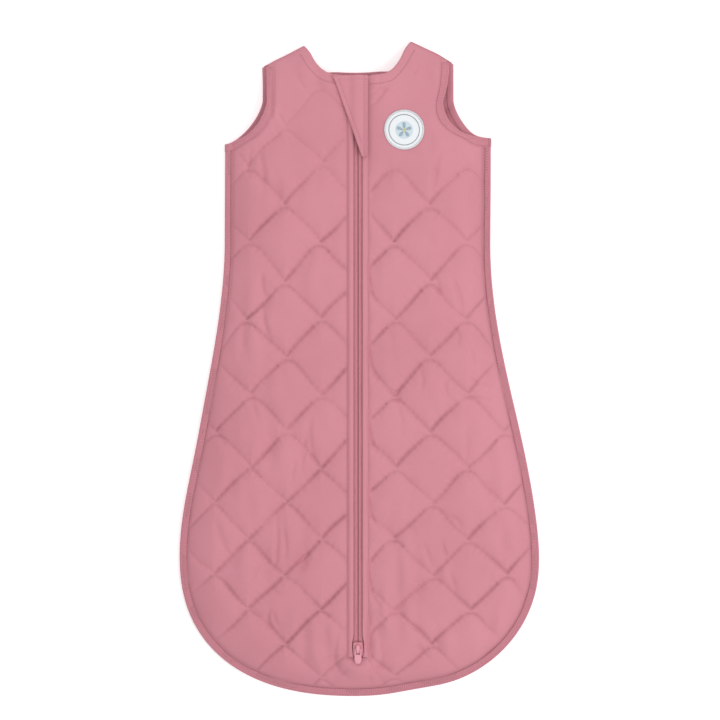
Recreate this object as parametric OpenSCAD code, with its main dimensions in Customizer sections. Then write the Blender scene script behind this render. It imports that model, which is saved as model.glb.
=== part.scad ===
// Sleeveless quilted sleeping bag for a baby, zipped closed and laid flat on its back.
// X runs across the bag to the wearer's left, Y towards the neck, and Z up out of the front.
// The origin is under the middle of the bag: Z is 0 on the outside of the back.

/* [Bag] */
// Length from the neck ends of the shoulder seams to the bottom of the hem
bag_length = 700; // [680:5:740]
// Half the width across the hips, where the bag is widest
hip_half = 191; // [184:1:198]
// Half the width across the chest, under the arms
chest_half = 142; // [138:1:146]
// Half the width between the shoulder tips
shoulder_half = 102; // [99:1:105]
// Half the width of the neck opening
neck_half = 56; // [54:1:58]
// Height of the rounded hem, from the hips down
hem_depth = 155; // [140:1:165]
// Roundness of the hem: 2 is an ellipse, more is squarer
hem_power = 2.4; // [2.2:0.1:2.8]
// Depth of the armholes, from shoulder tip to underarm
armhole_depth = 83; // [78:1:88]

/* [Padding] */
// Room left for the baby between front and back, where it is deepest
room = 14; // [12:0.5:18]
// How far in from a seam the room reaches its full depth
room_reach = 60; // [50:1:70]
// Thickness of the wadding
wadding = 5.2; // [5.2:0.1:6.5]
// Thickness of the outer fabric
outer_cloth = 1.0; // [0.8:0.1:1.2]
// Thickness of the lining fabric
lining_cloth = 0.8; // [0.6:0.1:1.0]

/* [Bands] */
// Width of the binding round the sides and hem
binding_w = 8.6; // [7:0.2:10]
// Width of the bands round the neck and the armholes
band_w = 6; // [5:0.5:7]

/* [Zip] */
// Half the width of the channel that the zip runs in
channel_half = 7.8; // [7.8:0.1:8.4]
// Width of the slider
slider_w = 12; // [11:0.2:12.2]
// Length of the slider
slider_l = 14.4; // [13.6:0.2:15]
// Width of the pull tab
pull_w = 7.5; // [7.3:0.1:8]
// Length of the pull tab from its hinge bar to its tip
pull_l = 15.2; // [13:0.2:20]
// Width of the chin guard along the neckline
guard_w = 33; // [28:1:35]
// Height of the chin guard
guard_h = 87; // [70:1:95]

/* [Badge] */
// Diameter of the round patch on the chest
badge_d = 43; // [38:1:44]
// Number of petals on the flower in its middle
petals = 5; // [4:1:6]

/* [Hidden] */
$fn = 48;

rose = "#cf8b97";
rose_dark = "#b8737f";
rose_light = "#d9939d";

gap = 0.3;        // between pieces that move past each other
layer_gap = 0.1;  // between the layers of one panel
panel_gap = 0.4;  // between a panel and the band that finishes its edge

// ---- outline ----
top_y = bag_length / 2;
hem_y = -bag_length / 2;
tip_y = top_y - 27;
underarm_y = tip_y - armhole_depth;
hip_y = hem_y + hem_depth;
waist_y = 137;       // above here the sides are straight
side_bias = 0.93;    // below 1 puts the steepest flare nearer the hips
arm_bend_y = tip_y - 36;
arm_power = 1.5;
front_arm_x = shoulder_half - 4.5;  // the front is cut deeper at the armhole than the back

function ease(t) = t >= 1 ? 1 : t <= 0 ? 0 : 1 - (1 - t) * (1 - t);
function smooth(t) = let (c = max(0, min(1, t))) c * c * (3 - 2 * c);
function flare(y) = smooth(pow((y - hip_y) / (waist_y - hip_y), side_bias));
function side_x(y, in = 0) =
    (y >= waist_y ? chest_half
     : y >= hip_y ? hip_half - (hip_half - chest_half) * flare(y)
     : hip_half) - in;
function hem_at(x, in = 0) =
    hip_y - (hem_depth - in)
    * pow(max(0, 1 - pow(min(1, abs(x) / (hip_half - in)), hem_power)), 1 / hem_power);
function arm_at(x, arm_x) =
    arm_bend_y - (arm_bend_y - underarm_y)
    * pow(1 - pow((chest_half - x) / (chest_half - arm_x), arm_power), 1 / arm_power);
function seam_at(x) = top_y - (top_y - tip_y) * (x - neck_half) / (shoulder_half - neck_half);

// Edges of the neck, from the middle outwards; the fractions of the way to the neck point stretch
// with the neck's width, and the drops are measured down from the neck point.
front_neck = [for (p = [[0, 38], [0.27, 37.8], [0.48, 35.5], [0.64, 29], [0.79, 20], [0.88, 11], [1, 0]])
    [p[0] * neck_half, top_y - p[1]]];
back_neck = [for (p = [[0, 33.5], [0.28, 32.7], [0.55, 30], [0.68, 25], [0.8, 17], [0.89, 8], [1, 0]])
    [p[0] * neck_half, top_y - p[1]]];
function neck_at(x, edge) = lookup(x, edge);

// ---- the zip, and the lines along which the front edges fold outwards ----
zip_top = top_y - 40;
zip_end = hem_y + 39.5;
apex_y = hem_y + 37;
flap_foot_y = -60;
foot_gap = 1.5;
wadding_slot = channel_half + 5.7;
lining_slot = channel_half + 2.2;
function fold_x(y) = neck_half * (y - apex_y) / (top_y - apex_y);
function fold_y(x) = apex_y + x * (top_y - apex_y) / neck_half;

// ---- distance to the nearest sewn edge, which sets how far the bag puffs up ----
hem_line = [for (a = [0 : 6.5 : 91])
    let (x = (hip_half - binding_w) * sin(min(a, 90))) [x, hem_at(x, binding_w)]];
side_line = [for (y = [hip_y + 40 : 45 : underarm_y]) [side_x(y, binding_w), y]];
sewn_side = concat(hem_line, side_line, [[chest_half - binding_w, underarm_y]]);
sewn_shoulder = [[neck_half, top_y], [shoulder_half, tip_y]];
function to_segment(p, a, b) =
    let (ab = b - a, t = max(0, min(1, (p - a) * ab / (ab * ab)))) norm(p - a - t * ab);
function to_line(p, line) = min([for (i = [1 : len(line) - 1]) to_segment(p, line[i - 1], line[i])]);
function to_seam(p) = min(to_line(p, sewn_side), to_line(p, sewn_shoulder));
// The zip holds the front up at its own foot: 1 beside it, falling to 0 further out.
function by_zip(p) = smooth(1 - (to_segment(p, [0, zip_end + 10], [0, zip_top]) - 18) / 20);

// ---- heights of the faces between the layers ----
// 0 top of the back's fabric, 1 back wadding, 2 back lining, 3 underside of the front lining,
// 4 front lining, 5 front wadding, 6 top of the front's outer fabric
edge_room = 0.2;
edge_wadding = 1.1;
thick_reach = 25;
function level(p, n) =
    let (q = [abs(p[0]), p[1]], d = to_seam(q),
         fill = layer_gap + edge_wadding + (wadding - edge_wadding) * ease(d / thick_reach),
         cloth = layer_gap + lining_cloth,
         space = edge_room + (room - edge_room) * max(ease(d / room_reach), by_zip(q)))
    outer_cloth + (n > 0 ? fill : 0) + (n > 1 ? cloth : 0) + (n > 2 ? space : 0)
    + (n > 3 ? lining_cloth : 0) + (n > 4 ? fill : 0) + (n > 5 ? layer_gap + outer_cloth : 0);
panel_t = lining_cloth + wadding + outer_cloth + 2 * layer_gap;
room_top = panel_t + room;
front_face = room_top + panel_t;
chain_z = front_face - 3.5;

// ---- solids ----
// Corners of a panel up one of its columns. The first ones stand at fixed distances from its foot, so
// that layers which end at different heights still have their corners in the same places.
foot_rows = [0, 3, 7, 12, 19, 29.9, 36, 43];
upper_rows = 7;
rows = len(foot_rows) - 1 + upper_rows;
row_step = 0.05;  // between the rows of a column that is too short for them
function row_at(length, j) =
    let (n = len(foot_rows) - 1)
    min(j <= n ? foot_rows[j] : foot_rows[n] + (length - foot_rows[n]) * sin(90 * (j - n) / upper_rows),
        length - row_step * (rows - j));

// A closed shell over columns [x, low y, high y], between two heights that are functions of a point.
module panel(columns, low, high) {
    n = len(columns);
    m = rows + 1;
    grid = [for (c = columns, j = [0 : rows]) [c[0], c[1] + row_at(c[2] - c[1], j)]];
    points = concat([for (p = grid) [p[0], p[1], low(p)]], [for (p = grid) [p[0], p[1], high(p)]]);
    under = [for (i = [0 : n - 2], j = [0 : rows - 1])
        each [[i * m + j, (i + 1) * m + j + 1, i * m + j + 1], [i * m + j, (i + 1) * m + j, (i + 1) * m + j + 1]]];
    over = [for (t = under) [t[0] + n * m, t[2] + n * m, t[1] + n * m]];
    rim = concat([for (i = [0 : n - 1]) i * m], [for (j = [1 : rows]) (n - 1) * m + j],
                 [for (i = [n - 2 : -1 : 0]) i * m + rows], [for (j = [rows - 1 : -1 : 1]) j]);
    wall = [for (k = [0 : len(rim) - 1])
        let (a = rim[k], b = rim[(k + 1) % len(rim)]) each [[a, b + n * m, b], [a, a + n * m, b + n * m]]];
    polyhedron(points, concat(under, over, wall), convexity = 6);
}

// A band of four-sided section between an outer and an inner edge, both lists of [x, y].
module ribbon(outer, inner, low, high) {
    n = len(outer);
    points = [for (i = [0 : n - 1])
        each [[outer[i].x, outer[i].y, low(outer[i])], [outer[i].x, outer[i].y, high(outer[i])],
              [inner[i].x, inner[i].y, high(inner[i])], [inner[i].x, inner[i].y, low(inner[i])]]];
    sides = [for (i = [0 : n - 2], k = [0 : 3])
        let (a = 4 * i + k, b = 4 * i + (k + 1) % 4) each [[a, b + 4, a + 4], [a, b, b + 4]]];
    polyhedron(points, concat([[0, 2, 1], [0, 3, 2]], sides,
        [[4 * n - 4, 4 * n - 3, 4 * n - 2], [4 * n - 4, 4 * n - 2, 4 * n - 1]]), convexity = 6);
}
module plate(z0, z1) {
    translate([0, 0, z0]) linear_extrude(z1 - z0) children();
}
module strip(x0, x1, y0, y1, z0, z1) {
    translate([x0, y0, z0]) cube([x1 - x0, y1 - y0, z1 - z0]);
}
module sided(side) {
    if (side < 0) mirror([1, 0, 0]) children();
    else children();
}
module both_sides() {
    children();
    mirror([1, 0, 0]) children();
}
function backwards(list) = [for (i = [len(list) - 1 : -1 : 0]) list[i]];
function mirrored(half) =
    concat([for (c = backwards(half)) each c[0] > 0 ? [[-c[0], c[1], c[2]]] : []], half);

// ---- columns of the panels, from the middle outwards ----
edge_in = binding_w + panel_gap;
band_in = band_w + panel_gap;
function column(x, high) = [x, hem_at(x, edge_in), high];
function outer_columns(arm_x) =
    let (edge = arm_edge(arm_x, band_in), last_x = chest_half - edge_in - 0.3) concat(
    [for (x = [neck_half + 10 : 11 : arm_x - 8]) column(x, seam_at(x) - panel_gap)],
    [column(edge[0].x - panel_gap, seam_at(edge[0].x) - panel_gap)],
    [for (i = [2 : len(edge) - 3]) column(edge[i].x, edge[i].y)],
    [column(last_x, arm_y(last_x, edge))],
    [for (y = [122, 87, 47, 7, -33, -73, -113, -165]) column(side_x(y, edge_in), y)],
    [[hip_half - edge_in - 0.1, hip_y - 28, hip_y + 5]]);
back_columns = mirrored(concat(
    [for (p = back_neck) column(p[0], p[1] - (p[0] < neck_half ? band_in : 0))],
    outer_columns(shoulder_half)));
// The front stops at the zip's slot and at the two fold lines. Its layers have the same columns.
slots = [channel_half, lining_slot, wadding_slot];
function front_columns(slot) = mirrored(concat(
    [column(0, zip_end)],
    [for (s = slots, x = [s - 0.1, s]) column(x, x < slot ? zip_end : flap_foot_y - foot_gap)],
    [column(fold_x(flap_foot_y), flap_foot_y - foot_gap)],
    [for (x = [29 : 9 : neck_half - 6]) column(x, fold_y(x - gap))],
    [column(neck_half - 3, fold_y(neck_half - 3 - gap)), column(neck_half + gap, top_y - 4)],
    outer_columns(front_arm_x)));
function flap_columns(slot) = concat(
    [for (x = [slot, front_neck[1].x, fold_x(flap_foot_y) - gap])
        [x, flap_foot_y, neck_at(x, front_neck) - band_in]],
    [for (x = concat([for (i = [2 : len(front_neck) - 2]) front_neck[i].x], [neck_half - 3.5]))
        [x, fold_y(x + gap), neck_at(x, front_neck) - band_in]]);

// ---- back and front ----
module back_outer() {
    color(rose) plate(0, outer_cloth)
        polygon(concat([for (c = back_columns) [c[0], c[1]]],
                       [for (c = backwards(back_columns)) [c[0], c[2]]]));
}
module back_wadding() {
    color("white") panel(back_columns, function(p) outer_cloth + layer_gap, function(p) level(p, 1));
}
module back_lining() {
    color(rose_light) panel(back_columns, function(p) level(p, 1) + layer_gap, function(p) level(p, 2));
}
module front_outer() {
    color(rose) panel(front_columns(channel_half),
        function(p) level(p, 5) + layer_gap, function(p) level(p, 6));
}
module front_wadding() {
    color("white") panel(front_columns(wadding_slot),
        function(p) level(p, 4) + layer_gap, function(p) level(p, 5));
}
module front_lining() {
    color(rose_light) panel(front_columns(lining_slot),
        function(p) level(p, 3), function(p) level(p, 4));
}

// ---- bindings and bands ----
module side_and_hem_binding() {
    // It starts below the armhole's band, which runs out to the side.
    ys = concat([for (y = [underarm_y - band_w : -32 : waist_y]) y],
                [for (y = [waist_y - 20 : -24 : hip_y + 8]) y]);
    side = function(in) concat(
        [for (y = ys) [side_x(y, in), y]],
        [for (i = [0 : 20])
            let (a = 90 - 90 * i / 20)
            [(hip_half - in) * pow(sin(a), 2 / hem_power), hip_y - (hem_depth - in) * pow(cos(a), 2 / hem_power)]]);
    color(rose_dark) plate(0, level([0, hem_at(0, binding_w)], 6)) {
        polygon(concat(side(0), backwards(side(binding_w))));
        mirror([1, 0]) polygon(concat(side(0), backwards(side(binding_w))));
    }
}
function arm_edge(arm_x, in) = concat(
    [for (y = [tip_y - 2, tip_y - 18, arm_bend_y]) [arm_x - in, y]],
    [for (k = [0.08, 0.25, 0.5, 0.75, 0.93])
        let (x = arm_x + (chest_half - arm_x) * k)
        [x - in * (1 - 0.3 * k), arm_at(x, arm_x) - in * 0.9 * pow(k, 0.6)]],
    [[chest_half - 1, underarm_y - 0.95 * in]]);
function arm_y(x, edge) = lookup(x, [for (i = [2 : len(edge) - 1]) edge[i]]);
over_front = function(p) level(p, 6) + 0.3;
under_front = function(p) level(p, 3) - 0.1;
over_back = function(p) level(p, 2) + 0.1;
module armhole_band(side) {
    color(rose_dark) sided(side) {
        ribbon(arm_edge(front_arm_x, 0), arm_edge(front_arm_x, band_w), under_front, over_front);
        ribbon(arm_edge(shoulder_half, 0), arm_edge(shoulder_half, band_w), function(p) 0, over_back);
    }
}
module left_armhole_band() armhole_band(1);
module right_armhole_band() armhole_band(-1);
function down(line, by) = [for (p = line) [p.x, p.y - by]];
module back_neck_band() {
    half = [for (i = [0 : len(back_neck) - 2]) back_neck[i]];
    edge = concat([for (i = [len(half) - 1 : -1 : 1]) [-half[i].x, half[i].y]], half);
    color(rose_dark) ribbon(edge, down(edge, band_w), function(p) 0, over_back);
}

// ---- the two front edges, which fold outwards along a line from the zip's foot to the neck ----
module left_flap_outer() flap_outer(1);
module left_flap_wadding() flap_wadding(1);
module left_flap_lining() flap_lining(1);
module left_neck_band() neck_band(1);
module right_flap_outer() flap_outer(-1);
module right_flap_wadding() flap_wadding(-1);
module right_flap_lining() flap_lining(-1);
module right_neck_band() neck_band(-1);
module flap_outer(side) {
    color(rose) sided(side) panel(flap_columns(channel_half),
        function(p) level(p, 5) + layer_gap, function(p) level(p, 6));
}
module flap_wadding(side) {
    color("white") sided(side) panel(flap_columns(wadding_slot),
        function(p) level(p, 4) + layer_gap, function(p) level(p, 5));
}
module flap_lining(side) {
    color(rose_light) sided(side) panel(flap_columns(lining_slot),
        function(p) level(p, 3), function(p) level(p, 4));
}
module neck_band(side) {
    edge = concat([[channel_half, neck_at(channel_half, front_neck)]],
                  [for (i = [1 : len(front_neck) - 2]) front_neck[i]],
                  [[neck_half - 4.5, neck_at(neck_half - 4.5, front_neck)]]);
    color(rose_dark) sided(side) ribbon(edge, down(edge, band_w), under_front, over_front);
}

// ---- the zip ----
tape_in = 3.1;
tape_out = 13;
tape_t = 0.6;
coil_in = 0.15;
coil_w = 2.85;
coil_t = 2.4;
slider_y = zip_end + 12.6;
chain_foot = slider_y - 1.2;
chain_top = zip_top - 8;
module facing(y0, y1) {
    color(rose_light) strip(channel_half, tape_out, y0, y1,
        chain_z + tape_t / 2 + 0.05, front_face - outer_cloth - layer_gap - 0.05);
}
module tape(y0, y1) {
    color(rose_dark) strip(tape_in, tape_out, y0, y1, chain_z - tape_t / 2, chain_z + tape_t / 2);
}
module coil(y0, y1) {
    color(rose_dark) strip(coil_in, coil_in + coil_w, y0, y1, chain_z - coil_t / 2, chain_z + coil_t / 2);
}
module lower_zip_facings() both_sides() facing(zip_end + 1, flap_foot_y - foot_gap);
module lower_zip_tapes() both_sides() tape(zip_end + 0.6, flap_foot_y - gap);
module lower_zip_coils() both_sides() coil(chain_foot, flap_foot_y - gap);
module left_zip_facing() facing(flap_foot_y, zip_top - 6);
tape_top = neck_at(channel_half, front_neck) - band_w - gap;
module left_zip_tape() tape(flap_foot_y, tape_top);
module left_zip_coil() coil(flap_foot_y, chain_top);
module right_zip_facing() sided(-1) facing(flap_foot_y, zip_top - 6);
module right_zip_tape() sided(-1) tape(flap_foot_y, tape_top);
module right_zip_coil() sided(-1) coil(flap_foot_y, chain_top);
module zip_end_stops() {
    color(rose_dark) both_sides() strip(gap, 2.8, zip_end + 1.2, zip_end + 3.4, chain_z - 1.4, chain_z + 1.4);
}
module insertion_pin() {
    color(rose_light) strip(-2.9, -gap, chain_top + 1, zip_top - 0.4, chain_z - 0.9, chain_z + 0.9);
}
module retainer_box() {
    color(rose_light) difference() {
        strip(gap, 2.9, chain_top + 1.4, zip_top - 0.4, chain_z - 1.9, chain_z + 1.9);
        strip(1.2, 2.1, chain_top + 4, zip_top - 1.6, chain_z - 3, chain_z + 3);
    }
}

// ---- the slider: two plates joined by a wedge, with flanges that keep the coils in ----
plate_t = 1.1;
throat = 1.6;
slider_top = chain_z + throat + plate_t;
module slider_outline() {
    hull() for (s = [-1, 1]) {
        translate([s * (slider_w / 2 - 2.4), -slider_l / 2 + 2.4]) circle(2.4, $fn = 32);
        translate([s * (slider_w * 0.41 - 1.6), slider_l / 2 - 1.6]) circle(1.6, $fn = 32);
    }
}
module slider_body() {
    color(rose_dark) translate([0, slider_y, chain_z]) {
        for (z = [throat, -throat - plate_t]) plate(z, z + plate_t) slider_outline();
        // the wedge that parts the coils, at the open end
        plate(-throat - 0.1, throat + 0.1)
            polygon([[-1.7, -slider_l / 2 + 0.8], [1.7, -slider_l / 2 + 0.8], [1.2, -3.4], [0, -2.2], [-1.2, -3.4]]);
        // the flanges, which leave a slot for each tape
        for (s = [-1, 1], z = [-throat - 0.1, 0.6])
            plate(z, z + throat - 0.5) intersection() {
                slider_outline();
                polygon([[s * (slider_w / 2 - 1.3), -6.4], [s * slider_w, -6.4],
                         [s * slider_w, 6.4], [s * (slider_w * 0.41 - 1.2), 6.4]]);
            }
    }
}
// An arch over the middle of the slider, which the pull tab's bar passes under.
bridge_w = 3.4;
bridge_half = 5;
bridge_h = 4.1;
bridge_t = 1.2;
module slider_bridge() {
    color(rose_light) translate([-bridge_w / 2, slider_y, slider_top]) rotate([90, 0, 90])
        linear_extrude(bridge_w) difference() {
            intersection() {
                scale([1, bridge_h / bridge_half]) circle(bridge_half);
                translate([-bridge_half - 1, 0]) square([2 * bridge_half + 2, bridge_h + 1]);
            }
            scale([1, (bridge_h - bridge_t) / (bridge_half - bridge_t)]) circle(bridge_half - bridge_t);
        }
}
// The bar lies under the bridge, and the two legs pass on either side of it.
bar_z = chain_z + 4.5;
bar_r = 0.7;
pull_t = 1.2;
leg_w = 1.6;
eye_l = 5.7;
module pull_tab() {
    color(rose_light) translate([0, slider_y, 0]) {
        translate([-pull_w / 2 + 0.6, 0, bar_z]) rotate([0, 90, 0]) cylinder(r = bar_r, h = pull_w - 1.2);
        plate(bar_z - pull_t / 2, bar_z + pull_t / 2) {
            for (x = [-pull_w / 2, pull_w / 2 - leg_w]) translate([x, -eye_l - 0.6]) square([leg_w, eye_l + 1]);
            polygon([[-pull_w / 2, -eye_l], [pull_w / 2, -eye_l], [pull_w / 2, -pull_l + 4], [pull_w / 2 - 1.5, -pull_l],
                     [-pull_w / 2 + 1.5, -pull_l], [-pull_w / 2, -pull_l + 4]]);
        }
    }
}

// ---- the chin guard, sewn to one front edge and free on its slanting side ----
guard_x = 8;
guard_y = zip_top + 2;
guard_z = front_face + 4.1;
guard_t = 1.6;
module chin_guard_base() {
    color(rose) strip(guard_x + 0.4, guard_x + 3.6, guard_y - guard_h, guard_y - band_w - 2,
        front_face + 0.1, guard_z + guard_t);
}
module chin_guard() {
    color(rose) plate(guard_z, guard_z + guard_t)
        polygon([[guard_x - guard_w, guard_y], [guard_x, guard_y], [guard_x, guard_y - guard_h], [guard_x - 2, guard_y - guard_h]]);
}

// ---- the badge, sewn on over the wearer's left chest ----
badge_at = [49, 256];
rim_w = 2.3;
module on_badge(z0, z1) plate(front_face + z0, front_face + z1) translate(badge_at) children();
module badge_patch() {
    color("white") on_badge(0.15, 1.1) circle(d = badge_d - 2 * rim_w - 0.2, $fn = 96);
}
module badge_rim() {
    color("gainsboro") on_badge(0.15, 1.5) difference() {
        circle(d = badge_d, $fn = 96);
        circle(d = badge_d - 2 * rim_w, $fn = 96);
    }
}
module badge_motif() {
    color("lightsteelblue") on_badge(1.15, 1.7) {
        circle(r = 2.6);
        for (i = [0 : petals - 1]) rotate(90 + 360 * i / petals) translate([7.6, 0]) circle(r = 3.6);
    }
}

back_outer();
back_wadding();
back_lining();
front_outer();
front_wadding();
front_lining();
side_and_hem_binding();
left_armhole_band();
right_armhole_band();
back_neck_band();
lower_zip_facings();
lower_zip_tapes();
lower_zip_coils();
zip_end_stops();
badge_patch();
badge_rim();
badge_motif();
left_flap_outer();
left_flap_wadding();
left_flap_lining();
left_neck_band();
left_zip_facing();
left_zip_tape();
left_zip_coil();
insertion_pin();
right_flap_outer();
right_flap_wadding();
right_flap_lining();
right_neck_band();
right_zip_facing();
right_zip_tape();
right_zip_coil();
retainer_box();
chin_guard_base();
slider_body();
slider_bridge();
pull_tab();
chin_guard();
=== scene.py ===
"""The looks of a quilted baby sleeping bag, laid flat on its back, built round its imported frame.

Lengths in this file are in millimetres in the row frame (X to the wearer's left, Y to the neck,
Z up out of the front) and become metres when a mesh is made.
"""

import math

import bmesh
import bpy
import numpy as np
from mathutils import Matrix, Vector
from mathutils.geometry import delaunay_2d_cdt
from mathutils.kdtree import KDTree


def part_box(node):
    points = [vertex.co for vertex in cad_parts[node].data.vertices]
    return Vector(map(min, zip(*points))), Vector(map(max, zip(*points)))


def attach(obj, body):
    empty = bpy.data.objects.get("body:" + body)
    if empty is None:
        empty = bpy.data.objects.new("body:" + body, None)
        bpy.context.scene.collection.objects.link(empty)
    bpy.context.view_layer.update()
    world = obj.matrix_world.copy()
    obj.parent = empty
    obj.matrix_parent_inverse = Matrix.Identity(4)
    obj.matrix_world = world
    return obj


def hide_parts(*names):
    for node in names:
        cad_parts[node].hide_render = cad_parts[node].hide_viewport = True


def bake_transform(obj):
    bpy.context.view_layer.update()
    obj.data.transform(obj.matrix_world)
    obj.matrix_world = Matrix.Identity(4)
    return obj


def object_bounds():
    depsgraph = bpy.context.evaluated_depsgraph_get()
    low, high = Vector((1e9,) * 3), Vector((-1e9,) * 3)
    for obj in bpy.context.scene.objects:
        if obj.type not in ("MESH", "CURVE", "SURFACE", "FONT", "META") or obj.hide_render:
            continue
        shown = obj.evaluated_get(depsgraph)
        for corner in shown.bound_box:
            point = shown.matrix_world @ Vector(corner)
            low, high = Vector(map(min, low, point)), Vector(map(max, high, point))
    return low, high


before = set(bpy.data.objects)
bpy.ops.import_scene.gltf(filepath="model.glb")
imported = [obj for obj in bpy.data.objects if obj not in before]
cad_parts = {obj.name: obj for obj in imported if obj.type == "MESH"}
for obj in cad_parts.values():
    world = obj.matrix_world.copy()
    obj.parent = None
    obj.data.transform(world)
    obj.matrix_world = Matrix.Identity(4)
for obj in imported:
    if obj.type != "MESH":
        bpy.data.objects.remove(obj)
cad_lo, cad_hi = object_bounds()
MM = 0.001
rng = np.random.default_rng(7)


def node_box(name):
    lo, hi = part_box(name)
    return np.array(lo) / MM, np.array(hi) / MM


# ---------------------------------------------------------------- sizes, from the frame
TOP_Y, HEM_Y = cad_hi.y / MM, cad_lo.y / MM
HIP_HALF = cad_hi.x / MM
CHEST_HALF = 142.0
SHOULDER_HALF, NECK_HALF = 102.0, 56.0
HEM_DEPTH, HEM_POWER = 155.0, 2.4
HIP_Y, WAIST_Y = HEM_Y + HEM_DEPTH, 137.0
TIP_Y, UNDERARM_Y = TOP_Y - 27, TOP_Y - 110
ARM_BEND_Y, ARM_POWER = TIP_Y - 36, 1.5
FRONT_ARM_X = SHOULDER_HALF - 4.5
BINDING_W = 8.6
CHAIN_Z = (node_box("left_zip_tape")[0][2] + node_box("left_zip_tape")[1][2]) / 2
ZIP_TOP = TOP_Y - 40
ZIP_END = HEM_Y + 39.5
SLIDER_Y = (node_box("slider_body")[0][1] + node_box("slider_body")[1][1]) / 2
SLIDE = 590.0  # how far the slider runs, to the neck
BADGE = (node_box("badge_rim")[0] + node_box("badge_rim")[1]) / 2
STITCH_LINE = 11.4  # from the middle to the line of stitches beside the zip
LIP_X = 4.8  # from the middle to the folded edge beside the zip


# ---------------------------------------------------------------- small functions
def ease(t):
    t = np.clip(t, 0, 1)
    return 1 - (1 - t) ** 2


def smooth(t):
    t = np.clip(t, 0, 1)
    return t * t * (3 - 2 * t)


def bell(v, width):
    """1 at 0, falling off on both sides over about a width."""
    return np.exp(-((v / width) ** 2))


def window(v, a0, a1, b0, b1):
    """0 below a0, 1 from a1 to b0, and 0 again above b1."""
    return smooth((v - a0) / (a1 - a0)) * (1 - smooth((v - b0) / (b1 - b0)))


def side_x(y):
    f = smooth(np.clip((y - HIP_Y) / (WAIST_Y - HIP_Y), 0, 1) ** 0.93)
    return HIP_HALF - (HIP_HALF - CHEST_HALF) * f


def arm_curve(arm_x, n=60):
    """The armhole's edge, from the underarm to the shoulder tip."""
    k = np.linspace(1, 0, n) ** 1.4
    x = arm_x + (CHEST_HALF - arm_x) * k
    y = ARM_BEND_Y - (ARM_BEND_Y - UNDERARM_Y) * (1 - (1 - k) ** ARM_POWER) ** (1 / ARM_POWER)
    top = TOP_Y - (TOP_Y - TIP_Y) * (arm_x - NECK_HALF) / (SHOULDER_HALF - NECK_HALF)
    up = np.linspace(ARM_BEND_Y, top, 22)[1:]
    return np.concatenate([np.stack([x, y], 1), np.stack([np.full(len(up), arm_x), up], 1)])


def spline(points, n=80):
    """A smooth curve through points, evenly spaced."""
    p = np.array(points, float)
    q = np.concatenate([[2 * p[0] - p[1]], p, [2 * p[-1] - p[-2]]])
    out = []
    for i in range(1, len(q) - 2):
        t = np.linspace(0, 1, 24, endpoint=False)[:, None]
        a, b, c, d = q[i - 1], q[i], q[i + 1], q[i + 2]
        out.append(0.5 * (2 * b + (c - a) * t + (2 * a - 5 * b + 4 * c - d) * t**2
                          + (3 * b - a - 3 * c + d) * t**3))
    out.append(p[-1:])
    return resample(np.concatenate(out), n=n)


def resample(line, step=None, n=None):
    along = np.concatenate([[0], np.cumsum(np.linalg.norm(np.diff(line, axis=0), axis=1))])
    n = n or max(2, int(round(along[-1] / step)) + 1)
    at = np.linspace(0, along[-1], n)
    return np.stack([np.interp(at, along, line[:, k]) for k in range(line.shape[1])], 1)


def inward(line, left=True):
    """Unit normals of a plan line, to the left of its direction, or to the right."""
    d = np.gradient(line[:, :2], axis=0)
    d /= np.maximum(np.linalg.norm(d, axis=1, keepdims=True), 1e-9)
    n = np.stack([-d[:, 1], d[:, 0]], 1)
    return n if left else -n


FRONT_NECK = [(0, 312), (15.1, 312.2), (26.9, 314.5), (35.8, 321), (44.2, 330), (49.3, 339), (56, 350)]
BACK_NECK = [(0, 316.5), (15.7, 317.3), (30.8, 320), (38, 325), (44.8, 333), (49.8, 342), (56, 350)]
front_neck = spline(FRONT_NECK)
back_neck = spline(BACK_NECK)
front_arm = arm_curve(FRONT_ARM_X)
back_arm = arm_curve(SHOULDER_HALF)


def hem_curve(inset=0.0, n=140):
    a = np.linspace(0, math.pi / 2, n)
    x = (HIP_HALF - inset) * np.sin(a) ** (2 / HEM_POWER)
    y = HIP_Y - (HEM_DEPTH - inset) * np.cos(a) ** (2 / HEM_POWER)
    return np.stack([x, y], 1)


def side_curve(inset=0.0, top=UNDERARM_Y, n=160):
    """From the middle of the hem round to the underarm."""
    y = np.linspace(HIP_Y, top, n)[1:]
    return np.concatenate([hem_curve(inset), np.stack([side_x(y) - inset, y], 1)])


# ---------------------------------------------------------------- distance to a set of lines
class Near:
    """The nearest of many points on plan lines: how far it is, and its number."""

    def __init__(self, points):
        self.tree = KDTree(len(points))
        for i, p in enumerate(points):
            self.tree.insert((p[0], p[1], 0), i)
        self.tree.balance()

    def __call__(self, x, y):
        hits = [self.tree.find((a, b, 0)) for a, b in zip(x, y)]
        return np.array([h[2] for h in hits]), np.array([h[1] for h in hits])


class Table:
    """A smooth field that is looked up from a square grid."""

    def __init__(self, function, step=2.0):
        self.x = np.arange(-204, 204.1, step)
        self.y = np.arange(-362, 362.1, step)
        gx, gy = np.meshgrid(self.x, self.y)
        self.v = function(gx.ravel(), gy.ravel()).reshape(gx.shape)
        self.step = step

    def __call__(self, x, y):
        u = np.clip((x - self.x[0]) / self.step, 0, len(self.x) - 1.001)
        v = np.clip((y - self.y[0]) / self.step, 0, len(self.y) - 1.001)
        i, j = u.astype(int), v.astype(int)
        u, v = u - i, v - j
        t = self.v
        low = t[j, i] * (1 - u) + t[j, i + 1] * u
        high = t[j + 1, i] * (1 - u) + t[j + 1, i + 1] * u
        return low * (1 - v) + high * v


sewn = resample(side_curve(BINDING_W), 1.0)
shoulder = resample(np.array([[NECK_HALF, TOP_Y], [SHOULDER_HALF, TIP_Y]]), 1.0)
to_sewn = Near(np.concatenate([sewn, shoulder]))


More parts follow.
